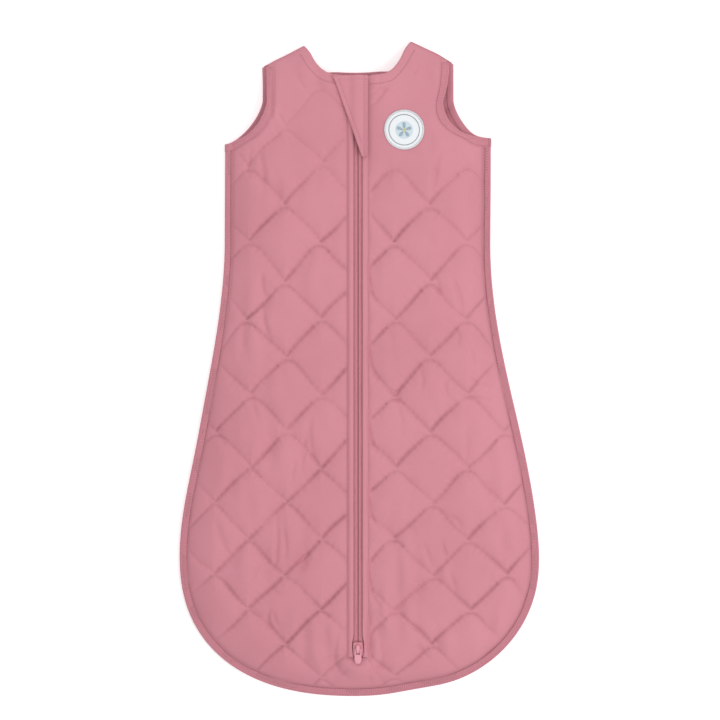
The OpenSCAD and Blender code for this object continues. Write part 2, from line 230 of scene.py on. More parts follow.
def within_sewn(x, y):
    """How far inside the sewn edge or the shoulder seam a point lies; 0 under the binding."""
    ax = np.abs(x)
    low = np.interp(ax, *hem_curve(BINDING_W).T)
    inside = (ax < side_x(y) - BINDING_W) & ((y > HIP_Y) | (y > low))
    return np.where(inside, to_sewn(ax, y)[0], 0)


seam_table = Table(within_sewn)
open_front = Near(np.concatenate([resample(front_arm, 1.0), resample(front_neck, 1.0)]))
open_table = Table(lambda x, y: open_front(np.abs(x), y)[0])


def level(x, y, n):
    """Height of a face between the bag's layers: 2 is the top of the back's lining, 3 the underside of
    the front's lining and 6 the top of the front. It rises from the sewn edges a little more softly
    than the frame's plain solids do, and is the same from there to the zip."""
    d = seam_table(x, y)
    fill = 1.2 + 4.1 * ease(d / 36)
    to_zip = np.hypot(x, y - np.clip(y, ZIP_END + 10, ZIP_TOP))
    room = 0.2 + 13.8 * np.maximum(ease(d / 82), smooth(1 - (to_zip - 18) / 20))
    return 1.0 + (fill + 0.9 if n > 1 else 0) + (room if n > 2 else 0) + (fill + 1.9 if n > 5 else 0)


class Noise:
    """A sum of waves in set directions, about -1 to 1."""

    def __init__(self, wave, count=7, stretch=(1, 1)):
        a = rng.uniform(0, 2 * math.pi, count)
        w = wave * rng.uniform(0.7, 1.5, count)
        self.kx = 2 * math.pi * np.cos(a) / w / stretch[0]
        self.ky = 2 * math.pi * np.sin(a) / w / stretch[1]
        self.phase = rng.uniform(0, 2 * math.pi, count)

    def __call__(self, x, y):
        x, y = np.asarray(x, float)[..., None], np.asarray(y, float)[..., None]
        return np.sin(x * self.kx + y * self.ky + self.phase).mean(-1) * 1.9


broad, medium, folds, patchy, puff_size, wander, uneven = (
    Noise(130), Noise(42), Noise(24, stretch=(1, 4)), Noise(90), Noise(60), Noise(75), Noise(50))


# ---------------------------------------------------------------- the quilting
COLUMN = 38.7  # half the width of one diamond
WANDER = 1.9  # how far a line of quilting strays


def row_y(j):
    """Height of the lattice's row j; the diamonds get a little shorter towards the hem."""
    return 135.5 + 41.2 * j + 0.21 * j * j


def cell_crease(i, j):
    """The creased top of the diamond whose middle is column i and row j: up one side, round the top
    and down the other. Each diamond's top is round and its foot is pointed."""
    left, right = np.array([COLUMN * (i - 1), row_y(j)]), np.array([COLUMN * (i + 1), row_y(j)])
    top = np.array([COLUMN * i, row_y(j + 1)])
    straight = 0.93 if j <= -7 and i < 0 else 0.76  # there the lowest rows run straight up
    a, b = left + (top - left) * straight, right + (top - right) * 0.76
    t = np.linspace(0, 1, 40)[:, None]
    arc = a * (1 - t) ** 2 + 2 * (top - (0, 1.0)) * t * (1 - t) + b * t**2
    up = left + (a - left) * np.linspace(0, 1, 90)[:, None]
    down = b + (right - b) * np.linspace(0, 1, 90)[:, None]
    line = np.concatenate([up[:-1], arc, down[1:]])
    kind = np.concatenate([np.full(89, 0), np.full(40, 1), np.full(89, 2)])
    return line, kind


def quilted(side, j):
    """Whether row j is quilted on that side: the badge's side of the chest is left plain."""
    return j <= (1 if side > 0 else 3)


def crease_set(plain_chest=True):
    """Points along every crease, with their kind and place along it, and the lines themselves."""
    lines, kinds, along = [], [], []
    for i in range(-6, 7):
        for j in range(-14, 5):
            if (i + j) % 2:
                continue
            line, kind = cell_crease(i, j)
            keep = np.ones(len(line), bool)
            for s in (1, -1):
                if plain_chest and not quilted(s, j):
                    keep &= line[:, 0] * s <= 0.01
            x, y = line.T
            line = (line + np.stack([wander(x, y), wander(y + 300, x)], 1) * WANDER)[keep]
            if len(line) > 3:
                step = np.linalg.norm(np.diff(line, axis=0, prepend=line[:1]), axis=1)
                lines.append(line)
                kinds.append(kind[keep])
                along.append(np.cumsum(step) + 17.0 * (i * 5 + j))  # so that no two ripples agree
    return np.concatenate(lines), np.concatenate(kinds), np.concatenate(along), lines


crease_points, crease_kind, crease_along, crease_lines = crease_set()
to_crease = Near(crease_points)
back_points, _, _, back_lines = crease_set(plain_chest=False)
to_back_crease = Near(back_points)
PUFF = 4.7  # from the bottom of the quilting to the top of a puff
SHARP = np.array([1.75, 1.0, 1.1])  # extra depth right at a crease: "/", round top, "\"
SOFT = np.array([0.95, 0.85, 0.8])  # how far a crease pulls the puffs down
CREASE_SHADE = np.array([1.0, 0.6, 0.65])  # how much painted shade each kind of crease gets
ARM_CLEAR = 11.0  # from the armhole's or the neck's edge to where the quilting starts
ARM_STITCH = 9.2  # from the armhole's or the neck's edge to the stitches along it


ZIP_HOLD = 0.62  # how far the stitches beside the zip hold the cloth down, as a share of a puff


def hold(d, reach=26.0):
    """How firmly a line of stitches holds the cloth at a distance: 1 on it, 0 out of its reach."""
    return (1 - np.minimum(d / reach, 1)) ** 2.3


def quilt(x, y):
    """(how far the surface lies under the top of the puffs, and from 0 to 1 how much painted shade darkens
    it at its creases and stitched lines).
    """
    d, at = to_crease(x, y)
    kind, s = crease_kind[at], crease_along[at]
    ax = np.abs(x)
    upper = smooth((y - 205) / 80)
    strength = 1 - np.where(x < 0, 0.55, 0.2) * upper
    strength = strength * smooth((open_table(x, y) - ARM_CLEAR) / 9)
    strength = strength * (1 - 0.25 * smooth((np.abs(patchy(x, y)) - 0.35) / 0.5))
    sharp = (1 - 0.6 * smooth((y - 165) / 60)) * (0.8 + 0.35 * uneven(x, y))
    sharp = np.where(kind == 2, sharp * (0.62 + 0.38 * uneven(y, x)), sharp)
    # the stitches beside the zip hold the cloth down as well
    line_y = np.clip(y, ZIP_END + 1.5, ZIP_TOP + 2)
    d_zip = np.hypot(ax - STITCH_LINE, y - line_y)
    d_foot = np.hypot(ax - np.clip(ax, 0, 9.6), y - (ZIP_END + 1.5))
    d_zip = np.minimum(d_zip, d_foot)
    placket = (ax < STITCH_LINE) & (y > ZIP_END + 1.5)
    held = strength * SOFT[kind] * hold(d)
    drop = PUFF * (1 - (1 - held) * (1 - ZIP_HOLD * hold(d_zip, 20.0)))
    crease = strength * sharp * bell(d, 1.5 + 0.5 * (kind == 2))
    drop = drop + SHARP[kind] * crease
    ripple = 0.32 * strength * np.exp(-d / 6.5) * np.sin(2 * math.pi * s / 8.3 + 3 * medium(x, y))
    ripple = ripple + 0.16 * np.exp(-d_zip / 5) * np.sin(2 * math.pi * y / 7.1 + 3 * medium(x, y))
    line = bell(d_zip, 1.0)
    band_line = bell(open_table(x, y) - ARM_STITCH, 0.9) * smooth((ax - 13) / 4)
    band_line = band_line * (0.2 + 0.8 * smooth((ax - 66) / 14))
    # beside the zip the cloth is flat over its facing, whatever the quilting does
    flat = smooth((ax - STITCH_LINE) / 3.5)
    flat = np.where(y > ZIP_END, flat, 1 - (1 - flat) * smooth((y - ZIP_END + 7) / 7))
    drop = np.where(placket, PUFF * ZIP_HOLD, drop) * flat + PUFF * ZIP_HOLD * (1 - flat)
    drop = drop + 0.55 * line + 0.35 * band_line + ripple * flat
    # painted shade, returned as the second value: the creases, the line of stitches beside the zip and the
    # bands' inner edges are coloured darker, as shade would make them
    lines = np.maximum(0.55 * line, 0.6 * band_line)
    return drop, np.clip(np.maximum(crease * flat * CREASE_SHADE[kind], lines), 0, 1)


# soft pulls in the cloth: from (x, y) to (x, y), half width and depth
WRINKLES = [
    (14, 284, 36, 303, 2.2, 0.8), (16, 293, 32, 297, 1.8, 0.5), (57, 315, 65, 326, 2.4, 0.5),
    (79, 216, 79, 188, 3.0, 0.9), (88, 232, 84, 205, 3.4, 0.6), (118, 205, 126, 168, 3.2, 0.7),
    (-113, 236, -116, 205, 3.0, 0.9), (-104, 232, -102, 188, 3.6, 0.9), (-96, 300, -92, 262, 2.6, 0.7),
    (-62, 318, -58, 296, 2.4, 0.4), (-138, 150, -130, 118, 3.0, 0.6), (-120, 60, -124, 10, 4.0, 0.7),
    (-58, -60, -60, -110, 3.4, 0.9), (-50, -52, -49, -96, 3.4, 0.7), (40, -20, 44, -70, 4.0, 0.6),
    (112, -60, 120, -120, 4.5, 0.7), (-150, -160, -138, -205, 5.0, 0.8), (150, -170, 158, -215, 5.0, 0.7),
    (13, -262, 12, -300, 3.2, 1.0), (20, -312, 34, -326, 3.4, 0.9), (-20, -300, -46, -322, 3.2, 0.7),
    (-14, -318, -26, -334, 3.0, 0.7), (12, -322, 16, -337, 3.0, 0.6), (60, -296, 82, -318, 4.0, 0.6),
    # upright folds and short pulls in the puffs, on the wearer's left
    (71, -186, 74, -216, 3.2, 0.7), (90, -186, 87, -206, 2.6, 0.9), (97, -156, 107, -169, 2.8, 0.6),
    (96, -212, 98, -236, 2.8, 0.6), (45, -259, 70, -285, 2.6, 0.7), (137, -216, 138, -236, 2.8, 0.5),
    (103, 96, 109, 60, 3.2, 1.0), (79, 100, 88, 78, 2.8, 0.6), (104, 42, 107, 25, 2.8, 0.6),
    (66, 0, 66, -24, 3.0, 0.6), (94, -9, 96, -32, 2.8, 0.7), (121, -10, 152, -21, 2.2, 0.7),
    (107, -27, 156, -32, 2.2, 0.6), (118, 20, 128, 4, 2.8, 0.5),
    # and on the wearer's right
    (-90, -164, -86, -212, 2.8, 0.9), (-79, -168, -80, -206, 2.6, 0.6), (-94, -256, -93, -279, 2.8, 0.8),
    (-87, -258, -86, -276, 2.4, 0.5), (-176, -202, -157, -212, 2.6, 0.6), (-64, -236, -49, -248, 2.8, 0.6),
    (-109, -208, -114, -226, 2.6, 0.6), (-96, -238, -83, -237, 2.4, 0.5), (-100, 102, -100, 76, 3.2, 0.8),
    (-100, 64, -94, 30, 3.0, 0.7), (-120, 44, -118, 17, 3.2, 0.6), (-112, -28, -110, -60, 3.2, 0.7),
    (-70, -96, -70, -122, 3.0, 0.6), (-150, -60, -146, -84, 3.0, 0.5),
]
# each puff beside the zip, on the wearer's left, is drawn round where it meets the stitches
for puff_y in (97, 20, -60, -140, -221, -298):
    WRINKLES.append((12.9, puff_y + 17, 12.5, puff_y - 9, 1.8, 0.7))
    WRINKLES.append((13.0, puff_y - 9, 23.0, puff_y - 33, 2.2, 0.7))


def wrinkles(x, y):
    """How deep the pulls are at each place."""
    total = 0.0
    for x0, y0, x1, y1, wide, depth in WRINKLES:
        long = math.hypot(x1 - x0, y1 - y0)
        ux, uy = (x1 - x0) / long, (y1 - y0) / long
        t = ((x - x0) * ux + (y - y0) * uy) / long
        side = (x - x0) * -uy + (y - y0) * ux + 2.5 * np.sin(3 * t + x0)
        total = total + depth * bell(side, wide) * window(t, -0.25, 0.3, 0.6, 1.25)
    return total


def lip_half(y):
    """From the middle to the folded edge beside the zip; wider round the slider at rest, and drawn in
    at the foot."""
    wide = sum(1.6 * window(y, at - 9, at - 4.5, at + 6, at + 16) for at in (SLIDER_Y, SLIDER_Y + SLIDE))
    return LIP_X + wide - 1.6 * (1 - smooth((y - ZIP_END - 1) / 5))


def front_top(x, y, crease=False):
    """Height of the front's outer face, and with crease also how much painted shade darkens it."""
    base, d = level(x, y, 6), seam_table(x, y)
    padding = 0.16 + 0.84 * ease(d / 27)
    drop, creased = quilt(x, y)
    z = base + (1.1 + 0.25 * puff_size(x, y) - drop) * padding
    # a lip beside the zip, from its stitches to its folded edge
    ax = np.abs(x)
    lip = window(ax, LIP_X - 4, LIP_X + 1.5, 8.5, STITCH_LINE) * smooth((y - ZIP_END) / 6)
    z = z + 1.75 * lip
    z = z + (0.55 * broad(x, y) + 0.22 * medium(x, y)) * padding * smooth((ax - 11) / 25)
    rumpled = (1.1 + 0.8 * smooth((-150 - y) / 80)) * smooth(patchy(y, x) * 1.4 + 0.35)
    z = z + rumpled * folds(x, y) * padding * smooth((ax - 14) / 18)
    z = z - 2.2 * wrinkles(x, y) * padding
    edge = open_table(x, y)
    z = z - 1.3 * bell(edge, 7) * smooth((ax - 9) / 8)
    # the cloth is drawn in where the binding is sewn to it, and painted shade darkens it there
    creased = np.maximum(creased, 0.9 * bell(d, 1.7) * (d < 6))
    return (z, creased) if crease else z


def front_under(x, y):
    """Height of the front's lining, seen from inside the bag."""
    d, at = to_crease(x, y)
    ax = np.abs(x)
    z = level(x, y, 3) + (1.3 * bell(d, 5) + 0.3) * ease(seam_table(x, y) / 27)
    edge = open_table(x, y)
    z = z + 1.2 * bell(edge, 7) * smooth((ax - 9) / 8)
    # over the tape the front is only its outer cloth
    by_zip = (1 - smooth((ax - 12.6) / 2.6)) * smooth((y - ZIP_END + 8) / 8)
    z = z + (CHAIN_Z + 0.75 - z) * by_zip
    # and its edge passes over the slider's wings
    lip = (1 - smooth((ax - 6.9) / 1.6)) * smooth((y - ZIP_END + 3) / 4)
    return z + (CHAIN_Z + 3.05 - z) * lip


# ---------------------------------------------------------------- how this bag lies
def near(v, middle, reach):
    return bell(v - middle, reach)


def lie(points):
    """The small shifts of cloth laid out by hand; nothing near the zip moves."""
    p = np.array(points, float)
    x, y = p[:, 0], p[:, 1]
    ax, left = np.abs(x), x > 0
    far = smooth((ax - 30) / 60)
    dx = -1.2 * far * np.sin((y + 40 * np.sign(x)) / 83) * near(y, -20, 190)
    dx = dx + far * np.where(left, 2.6 * near(y, -225, 60), 2.0 * near(y, -95, 60))
    dx = dx - 1.2 * smooth((y - 300) / 45) * smooth((ax - 12) / 40) * np.where(left, 0, 1)
    # the armpits, the shoulders, the neckline and the hem
    dy = np.where(left, 6.5 * near(y, 240, 26) * smooth((ax - 118) / 24), 0)
    dy = dy + smooth((y - 295) / 28) * np.where(left, 3.4 * near(ax, 92, 24), -4.3 * near(ax, 62, 32))
    dy = dy - 3.0 * near(ax, 37, 9) * smooth((y - 300) / 16) * np.where(left, 1.0, 0.8)
    dy = dy + 3.2 * near(ax, 62, 34) * smooth((-300 - y) / 40) * left
    dy = dy - 2.4 * near(x, 52, 38) * near(y, 256, 42) * smooth((ax - 13) / 14)
    # the front's armholes are drawn in, so the back's lining shows
    front = smooth((p[:, 2] - 7.4) / 5)
    drawn = np.where(left, -9.0 * near(y, 272, 26) * smooth((y - 240) / 14)
                     - 3.5 * near(y, 258, 12) * smooth((y - 242) / 8),
                     4.0 * near(y, 255, 22) * smooth((y - 238) / 10))
    dx = dx + drawn * front * smooth((ax - 73) / 22)
    p[:, 0], p[:, 1] = x + dx, y + dy
    return p


# ---------------------------------------------------------------- making meshes
def mesh_object(name, verts, faces, materials, index=None):
    me = bpy.data.meshes.new(name)
    me.from_pydata((lie(verts) * MM).tolist(), [], [tuple(int(k) for k in f) for f in faces])
    for m in materials:
        me.materials.append(m)
    if index is not None:
        me.polygons.foreach_set("material_index", np.array(index, np.int32))
    me.polygons.foreach_set("use_smooth", np.ones(len(me.polygons), bool))
    me.update()
    o = bpy.data.objects.new(name, me)
    bpy.context.scene.collection.objects.link(o)
    return o


def face_outwards(o):
    bm = bmesh.new()
    bm.from_mesh(o.data)
    bmesh.ops.recalc_face_normals(bm, faces=bm.faces)
    bm.to_mesh(o.data)
    bm.free()
    return o


def fill_region(outline, step):
    """Triangles that fill a plan outline, with the outline's own points first."""
    n = len(outline)
    edges = np.stack([outline, np.roll(outline, -1, 0)], 1)
    near = Near(outline)
    pts = []
    for r, y in enumerate(np.arange(outline[:, 1].min() + step / 2, outline[:, 1].max(), step * 0.866)):
        y = y + 1e-4
        crosses = (edges[:, 0, 1] > y) != (edges[:, 1, 1] > y)
        e = edges[crosses]
        xs = np.sort(e[:, 0, 0] + (y - e[:, 0, 1]) * (e[:, 1, 0] - e[:, 0, 0]) / (e[:, 1, 1] - e[:, 0, 1]))
        for a, b in zip(xs[::2], xs[1::2]):
            x = np.arange(math.ceil(a / step), math.floor(b / step) + 1) * step + (r % 2) * step / 2
            x = x[(x > a) & (x < b)]
            pts.append(np.stack([x, np.full(len(x), y)], 1))
    pts = np.concatenate(pts)
    pts = pts[near(pts[:, 0], pts[:, 1])[0] > 0.6 * min(step, 3)]
    every = np.concatenate([outline, pts])
    v, _, f, source, _, _ = delaunay_2d_cdt(
        [Vector(p) for p in every], [(i, (i + 1) % n) for i in range(n)], [], 1, 1e-5)
    order = np.full(len(v), -1)
    for k, s in enumerate(source):
        if len(s):
            order[k] = s[0]
    v = np.array([tuple(p) for p in v])
    assert (order >= 0).all(), "an outline crosses itself"
    return every, [tuple(order[list(t)]) for t in f]


def pad(name, outline, top, under, step, under_step, materials, bulge=0.5, crisp=None):
    """A closed padded piece: two faces over one plan outline, joined by a rounded rim. The top's edge is
    a crisp one where crisp is true, so that two pieces can meet there with no line."""
    n = len(outline)
    a, fa = fill_region(outline, step)
    b, fb = fill_region(outline, under_step)
    za, crease = top(a[:, 0], a[:, 1])
    low = under(b[:, 0], b[:, 1])
    zb, low_crease_shade = low if isinstance(low, tuple) else (low, np.zeros(len(b)))
    zb[:n] = np.minimum(zb[:n], za[:n] - 0.15)
    out = -inward(np.concatenate([outline[-1:], outline, outline[:1]]))[1:-1]
    rims, thick = [], za[:n] - zb[:n]
    for t in (0.25, 0.5, 0.75):
        push = np.minimum(thick * bulge * 0.5, 1.6) * math.sin(math.pi * t)
        rims.append(np.concatenate([outline + out * push[:, None], (zb[:n] + thick * t)[:, None]], 1))
    verts = np.concatenate([np.column_stack([a, za]), np.column_stack([b, zb]), *rims])
    na, nb = len(a), len(b)
    faces = list(fa) + [(p[0] + na, p[2] + na, p[1] + na) for p in fb]
    index = [0] * len(fa) + [1] * len(fb)
    rows = [na, na + nb, na + nb + n, na + nb + 2 * n, 0]
    for lower, upper in zip(rows[:-1], rows[1:]):
        for i in range(n):
            j = (i + 1) % n
            faces.append((lower + i, lower + j, upper + j, upper + i))
            index.append(0)
    o = mesh_object(name, verts, faces, materials, index)
    # the crease attribute carries painted shade: how much darker each point of the cloth is coloured at its
    # creases and seams
    creased = np.concatenate([crease, low_crease_shade, np.zeros(3 * n)]).astype(np.float32)
    o.data.attributes.new("crease", "FLOAT", "POINT").data.foreach_set("value", creased)
    if crisp is not None:
        ends = np.empty(len(o.data.edges) * 2, np.int32)
        o.data.edges.foreach_get("vertices", ends)
        ends = ends.reshape(-1, 2)
        sharp = (ends < n).all(1) & crisp[ends[:, 0] % n] & crisp[ends[:, 1] % n]
        o.data.attributes.new("sharp_edge", "BOOLEAN", "EDGE").data.foreach_set("value", sharp)
    return face_outwards(o)


def sweep(name, rings, material):
    """A tube through rings of points, all with the same number, closed by caps."""
    rings = np.array(rings)
    n, m = rings.shape[:2]
    faces = []
    for a in range(0, (n - 1) * m, m):
        for k in range(m):
            faces.append((a + k, a + (k + 1) % m, a + m + (k + 1) % m, a + m + k))
    faces.append(tuple(range(m - 1, -1, -1)))
    faces.append(tuple((n - 1) * m + k for k in range(m)))
    return face_outwards(mesh_object(name, rings.reshape(-1, 3), faces, [material]))


def threads(name, paths, material, radius, sides=5):
    """Many short stitches in one mesh. Each path is a thread's line, with its ends sunk into the cloth."""
    verts, faces = [], []
    turn = np.linspace(0, 2 * math.pi, sides, endpoint=False)
    count = 0
    for p in paths:
        p = np.asarray(p, float)
        d = np.gradient(p, axis=0)
        d /= np.maximum(np.linalg.norm(d, axis=1, keepdims=True), 1e-9)
        across = np.cross(d, (0, 0, 1.0))
        across /= np.maximum(np.linalg.norm(across, axis=1, keepdims=True), 1e-9)
        # a thread that turns back on itself doesn't twist there
        turns = np.where((across[1:] * across[:-1]).sum(1) < 0, -1, 1)
        across[1:] *= np.cumprod(turns)[:, None]
        up = np.cross(across, d)
        m = len(p)
        thin = np.ones(m)
        thin[0] = thin[-1] = 0.55
        ring = (across[:, None] * np.cos(turn)[None, :, None] + up[:, None] * np.sin(turn)[None, :, None])
        verts.append((p[:, None] + ring * (radius * thin)[:, None, None]).reshape(-1, 3))
        for i in range(m - 1):
            for k in range(sides):
                a, b = count + i * sides, count + (i + 1) * sides
                faces.append((a + k, a + (k + 1) % sides, b + (k + 1) % sides, b + k))
        faces.append(tuple(count + k for k in range(sides - 1, -1, -1)))
        faces.append(tuple(count + (m - 1) * sides + k for k in range(sides)))
        count += m * sides
    return mesh_object(name, np.concatenate(verts), faces, [material])


def running(line, height, stitch, space, lift, sink):
    """Stitches along a plan line that lies on a surface: their paths."""
    fine = 0.25
    line = resample(line, fine)
    long = int(round(stitch / fine))
    out = []
    for start in range(0, len(line) - long, int(round((stitch + space) / fine))):
        p = line[[start, start + long // 6, start + long // 2, start + long - long // 6, start + long]]
        z = height(p[:, 0], p[:, 1])
        out.append(np.column_stack([p, z + np.array([-sink, lift, lift * 1.3, lift, -sink])]))
    return out


# ---------------------------------------------------------------- materials
def material(name, build):
    m = bpy.data.materials.new(name)
    m.use_nodes = True
    t = m.node_tree
    t.nodes.clear()
    out = t.nodes.new("ShaderNodeOutputMaterial")
    shader = t.nodes.new("ShaderNodeBsdfPrincipled")
    t.links.new(shader.outputs[0], out.inputs[0])
    build(t, shader)
    return m


def node(t, kind, **values):
    n = t.nodes.new(kind)
    for k, v in values.items():
        if k in n.inputs:
            n.inputs[k].default_value = v
        else:
            setattr(n, k, v)
    return n


def mix_colour(t, factor, a, b):
    n = node(t, "ShaderNodeMix", data_type="RGBA")
    for i, v in ((0, factor), (6, a), (7, b)):
        if isinstance(v, bpy.types.NodeSocket):
            t.links.new(v, n.inputs[i])
        else:
            n.inputs[i].default_value = v
    return n.outputs[2]


def ramp(t, source, lo, hi, out_lo=0.0, out_hi=1.0):
    n = node(t, "ShaderNodeMapRange")
    t.links.new(source, n.inputs[0])
    for i, v in enumerate((lo, hi, out_lo, out_hi)):
        n.inputs[i + 1].default_value = v
    return n.outputs[0]


def texture(t, kind, **values):
    """A node whose place is taken in the object's own space."""
    n = node(t, kind, **values)
    t.links.new(node(t, "ShaderNodeTexCoord").outputs["Object"], n.inputs["Vector"])
    return n


def combine(t, operation, a, b):
    n = node(t, "ShaderNodeMath", operation=operation)
    t.links.new(a, n.inputs[0])
    t.links.new(b, n.inputs[1])
    return n.outputs[0]


def bump(t, shader, height, strength, distance):
    n = node(t, "ShaderNodeBump", Strength=strength, Distance=distance)
    t.links.new(height, n.inputs["Height"])
    t.links.new(n.outputs[0], shader.inputs["Normal"])


def constants(shader, **values):
    """Plain values, whose names have _ for a space."""
    for name, value in values.items():
        shader.inputs[name.replace("_", " ")].default_value = value


def cloth(name, base, dark, light, sheen=0.25, knit=1150.0, knit_depth=0.35, slub=0.5, creases=True):
    """A matt knitted cloth: fine ribs of loops, faint uneven yarn, and painted shade in the creases."""

    def build(t, shader):
        blotch = texture(t, "ShaderNodeTexNoise", Scale=9.0, Detail=3.0, Roughness=0.55).outputs[0]
        yarn_space = texture(t, "ShaderNodeMapping", Scale=(260.0, 1300.0, 260.0))
        yarn_noise = node(t, "ShaderNodeTexNoise", Scale=1.0, Detail=3.0, Roughness=0.6)
        t.links.new(yarn_space.outputs[0], yarn_noise.inputs["Vector"])
        yarn = yarn_noise.outputs[0]
        colour = mix_colour(t, ramp(t, blotch, 0.3, 0.7), (*dark, 1), (*light, 1))
        colour = mix_colour(t, ramp(t, blotch, 0.2, 0.8, 0.35, 0.65), colour, (*base, 1))
        colour = mix_colour(t, ramp(t, yarn, 0.3, 0.75, 0.0, 0.16 * slub), colour,
                            (*[c * 0.72 for c in dark], 1))
        # painted shade: the crease attribute darkens the colour where shade falls at creases and seams
        if creases:
            crease = node(t, "ShaderNodeAttribute", attribute_name="crease")
            colour = mix_colour(t, ramp(t, crease.outputs["Fac"], 0.0, 1.0, 0.0, 0.5), colour,
                                (*[c * 0.62 for c in dark], 1))
        t.links.new(colour, shader.inputs["Base Color"])
        # loops of the knit: ribs one way, courses the other
        ribs = texture(t, "ShaderNodeTexWave", Scale=knit / 2, Distortion=0.6, Detail=1.0)
        courses = texture(t, "ShaderNodeTexWave", Scale=knit / 2.6, Distortion=0.8, Detail=1.0,
                          bands_direction="Y")
        loops = combine(t, "MULTIPLY", ribs.outputs["Fac"], courses.outputs["Fac"])
        bump(t, shader, combine(t, "ADD", loops, yarn), knit_depth, 0.0003)
        t.links.new(ramp(t, yarn, 0.2, 0.8, 0.84, 0.96), shader.inputs["Roughness"])
        constants(shader, Sheen_Weight=sheen, Sheen_Roughness=0.5, Sheen_Tint=(*light, 1),
                  Specular_IOR_Level=0.25)

    return material(name, build)


def satin(name, base, dark, scale, rough=0.5):
    """Thread laid side by side, or a woven tape: fine ridges one way with a soft gloss."""

    def build(t, shader):
        wave = texture(t, "ShaderNodeTexWave", Scale=scale / 2, Distortion=0.4, Detail=1.0).outputs["Fac"]
        noise = texture(t, "ShaderNodeTexNoise", Scale=400.0, Detail=2.0).outputs[0]
        colour = mix_colour(t, ramp(t, wave, 0, 1, 0, 0.6), (*base, 1), (*dark, 1))
        colour = mix_colour(t, ramp(t, noise, 0.3, 0.8, 0, 0.3), colour, (*dark, 1))
        t.links.new(colour, shader.inputs["Base Color"])
        bump(t, shader, wave, 0.5, 0.0003)
        t.links.new(ramp(t, noise, 0.2, 0.8, rough - 0.07, rough + 0.1), shader.inputs["Roughness"])
        constants(shader, Sheen_Weight=0.1)

    return material(name, build)


def enamel(name, base, dark, rough):
    """Painted die-cast metal or moulded nylon: a gloss with worn, slightly darker patches."""

    def build(t, shader):
        noise = texture(t, "ShaderNodeTexNoise", Scale=900.0, Detail=4.0).outputs[0]
        large = texture(t, "ShaderNodeTexNoise", Scale=160.0, Detail=2.0).outputs[0]
        colour = mix_colour(t, ramp(t, large, 0.35, 0.7), (*base, 1), (*dark, 1))
        t.links.new(colour, shader.inputs["Base Color"])
        t.links.new(ramp(t, noise, 0.3, 0.8, rough - 0.08, rough + 0.14), shader.inputs["Roughness"])
        bump(t, shader, noise, 0.12, 0.0002)
        constants(shader, Coat_Weight=0.35, Coat_Roughness=0.25)

    return material(name, build)


outer_cloth = cloth("rose_outer_cloth", (0.533, 0.216, 0.257), (0.495, 0.194, 0.233), (0.57, 0.237, 0.281))
lining_cloth = cloth("rose_lining_cloth", (0.50, 0.190, 0.230), (0.47, 0.170, 0.21), (0.53, 0.205, 0.25),
                     slub=0.8)
binding_cloth = cloth("rose_binding_cloth", (0.505, 0.198, 0.240), (0.47, 0.177, 0.217),
                      (0.54, 0.217, 0.262), knit=900.0, knit_depth=0.5, creases=False)
rose_thread = satin("rose_thread", (0.47, 0.175, 0.215), (0.35, 0.12, 0.155), scale=2200.0, rough=0.7)
seam_thread = satin("rose_seam_thread", (0.36, 0.12, 0.152), (0.27, 0.085, 0.11), scale=2200.0, rough=0.7)
rung_thread = satin("rose_cover_thread", (0.585, 0.25, 0.295), (0.47, 0.18, 0.22), scale=2200.0, rough=0.7)
tape_cloth = satin("rose_zip_tape", (0.56, 0.205, 0.245), (0.44, 0.15, 0.185), scale=1500.0, rough=0.8)
coil_nylon = enamel("rose_nylon_coil", (0.42, 0.13, 0.17), (0.34, 0.095, 0.13), rough=0.42)
slider_paint = enamel("rose_slider_enamel", (0.60, 0.22, 0.27), (0.50, 0.16, 0.21), rough=0.3)
pull_paint = enamel("rose_pull_enamel", (0.66, 0.28, 0.33), (0.58, 0.235, 0.285), rough=0.3)
badge_white = cloth("badge_white_cloth", (0.72, 0.74, 0.76), (0.68, 0.70, 0.72), (0.76, 0.78, 0.79),
                    knit=1500.0, creases=False, sheen=0.05)
badge_centre = cloth("badge_pale_cloth", (0.53, 0.62, 0.67), (0.49, 0.58, 0.63), (0.58, 0.66, 0.70),
                     knit=1500.0, creases=False, sheen=0.05)
badge_thread = satin("badge_edge_thread", (0.78, 0.78, 0.80), (0.62, 0.63, 0.66), scale=1800.0)
grey_thread = satin("badge_grey_thread", (0.16, 0.18, 0.19), (0.08, 0.09, 0.1), scale=1800.0)
petal_thread = satin("badge_petal_thread", (0.42, 0.52, 0.58), (0.34, 0.43, 0.50), scale=1900.0)
heart_thread = satin("badge_heart_thread", (0.72, 0.70, 0.30), (0.55, 0.52, 0.18), scale=1900.0)


# ---------------------------------------------------------------- pieces that lie on the front's halves, and stitches
SIDE_NAME = {1: "left", -1: "right"}


def with_flap(o):
    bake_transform(o)


def stitches(name, paths, thread, radius, side=0, sides=5):
    """A piece made of stitches: attached to the sack, or, with a side, lying on that half of the front with
    its transform baked in.
    """
    o = threads(name, paths, thread, radius, sides)
    if side:
        with_flap(o)
    else:
        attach(o, "sack")


def mirrored(line, side):
    return line * (side, 1) if side > 0 else (line * (side, 1))[::-1]


# ---------------------------------------------------------------- the front, in two padded halves
STEP = 1.5
UNDER_STEP = 3.2
EDGE = 3.2  # how far the bindings reach past the panels' own edges
ARM_EDGE = 2.2  # and the armholes' and the back neck's bands


def side_and_arm(arm):
    """The panels' own edge up the side and round the armhole, inside the bindings."""
    arm = arm + inward(arm) * ARM_EDGE
    return side_curve(EDGE, UNDERARM_Y - 3.5), arm[arm[:, 0] < CHEST_HALF - 4.4]


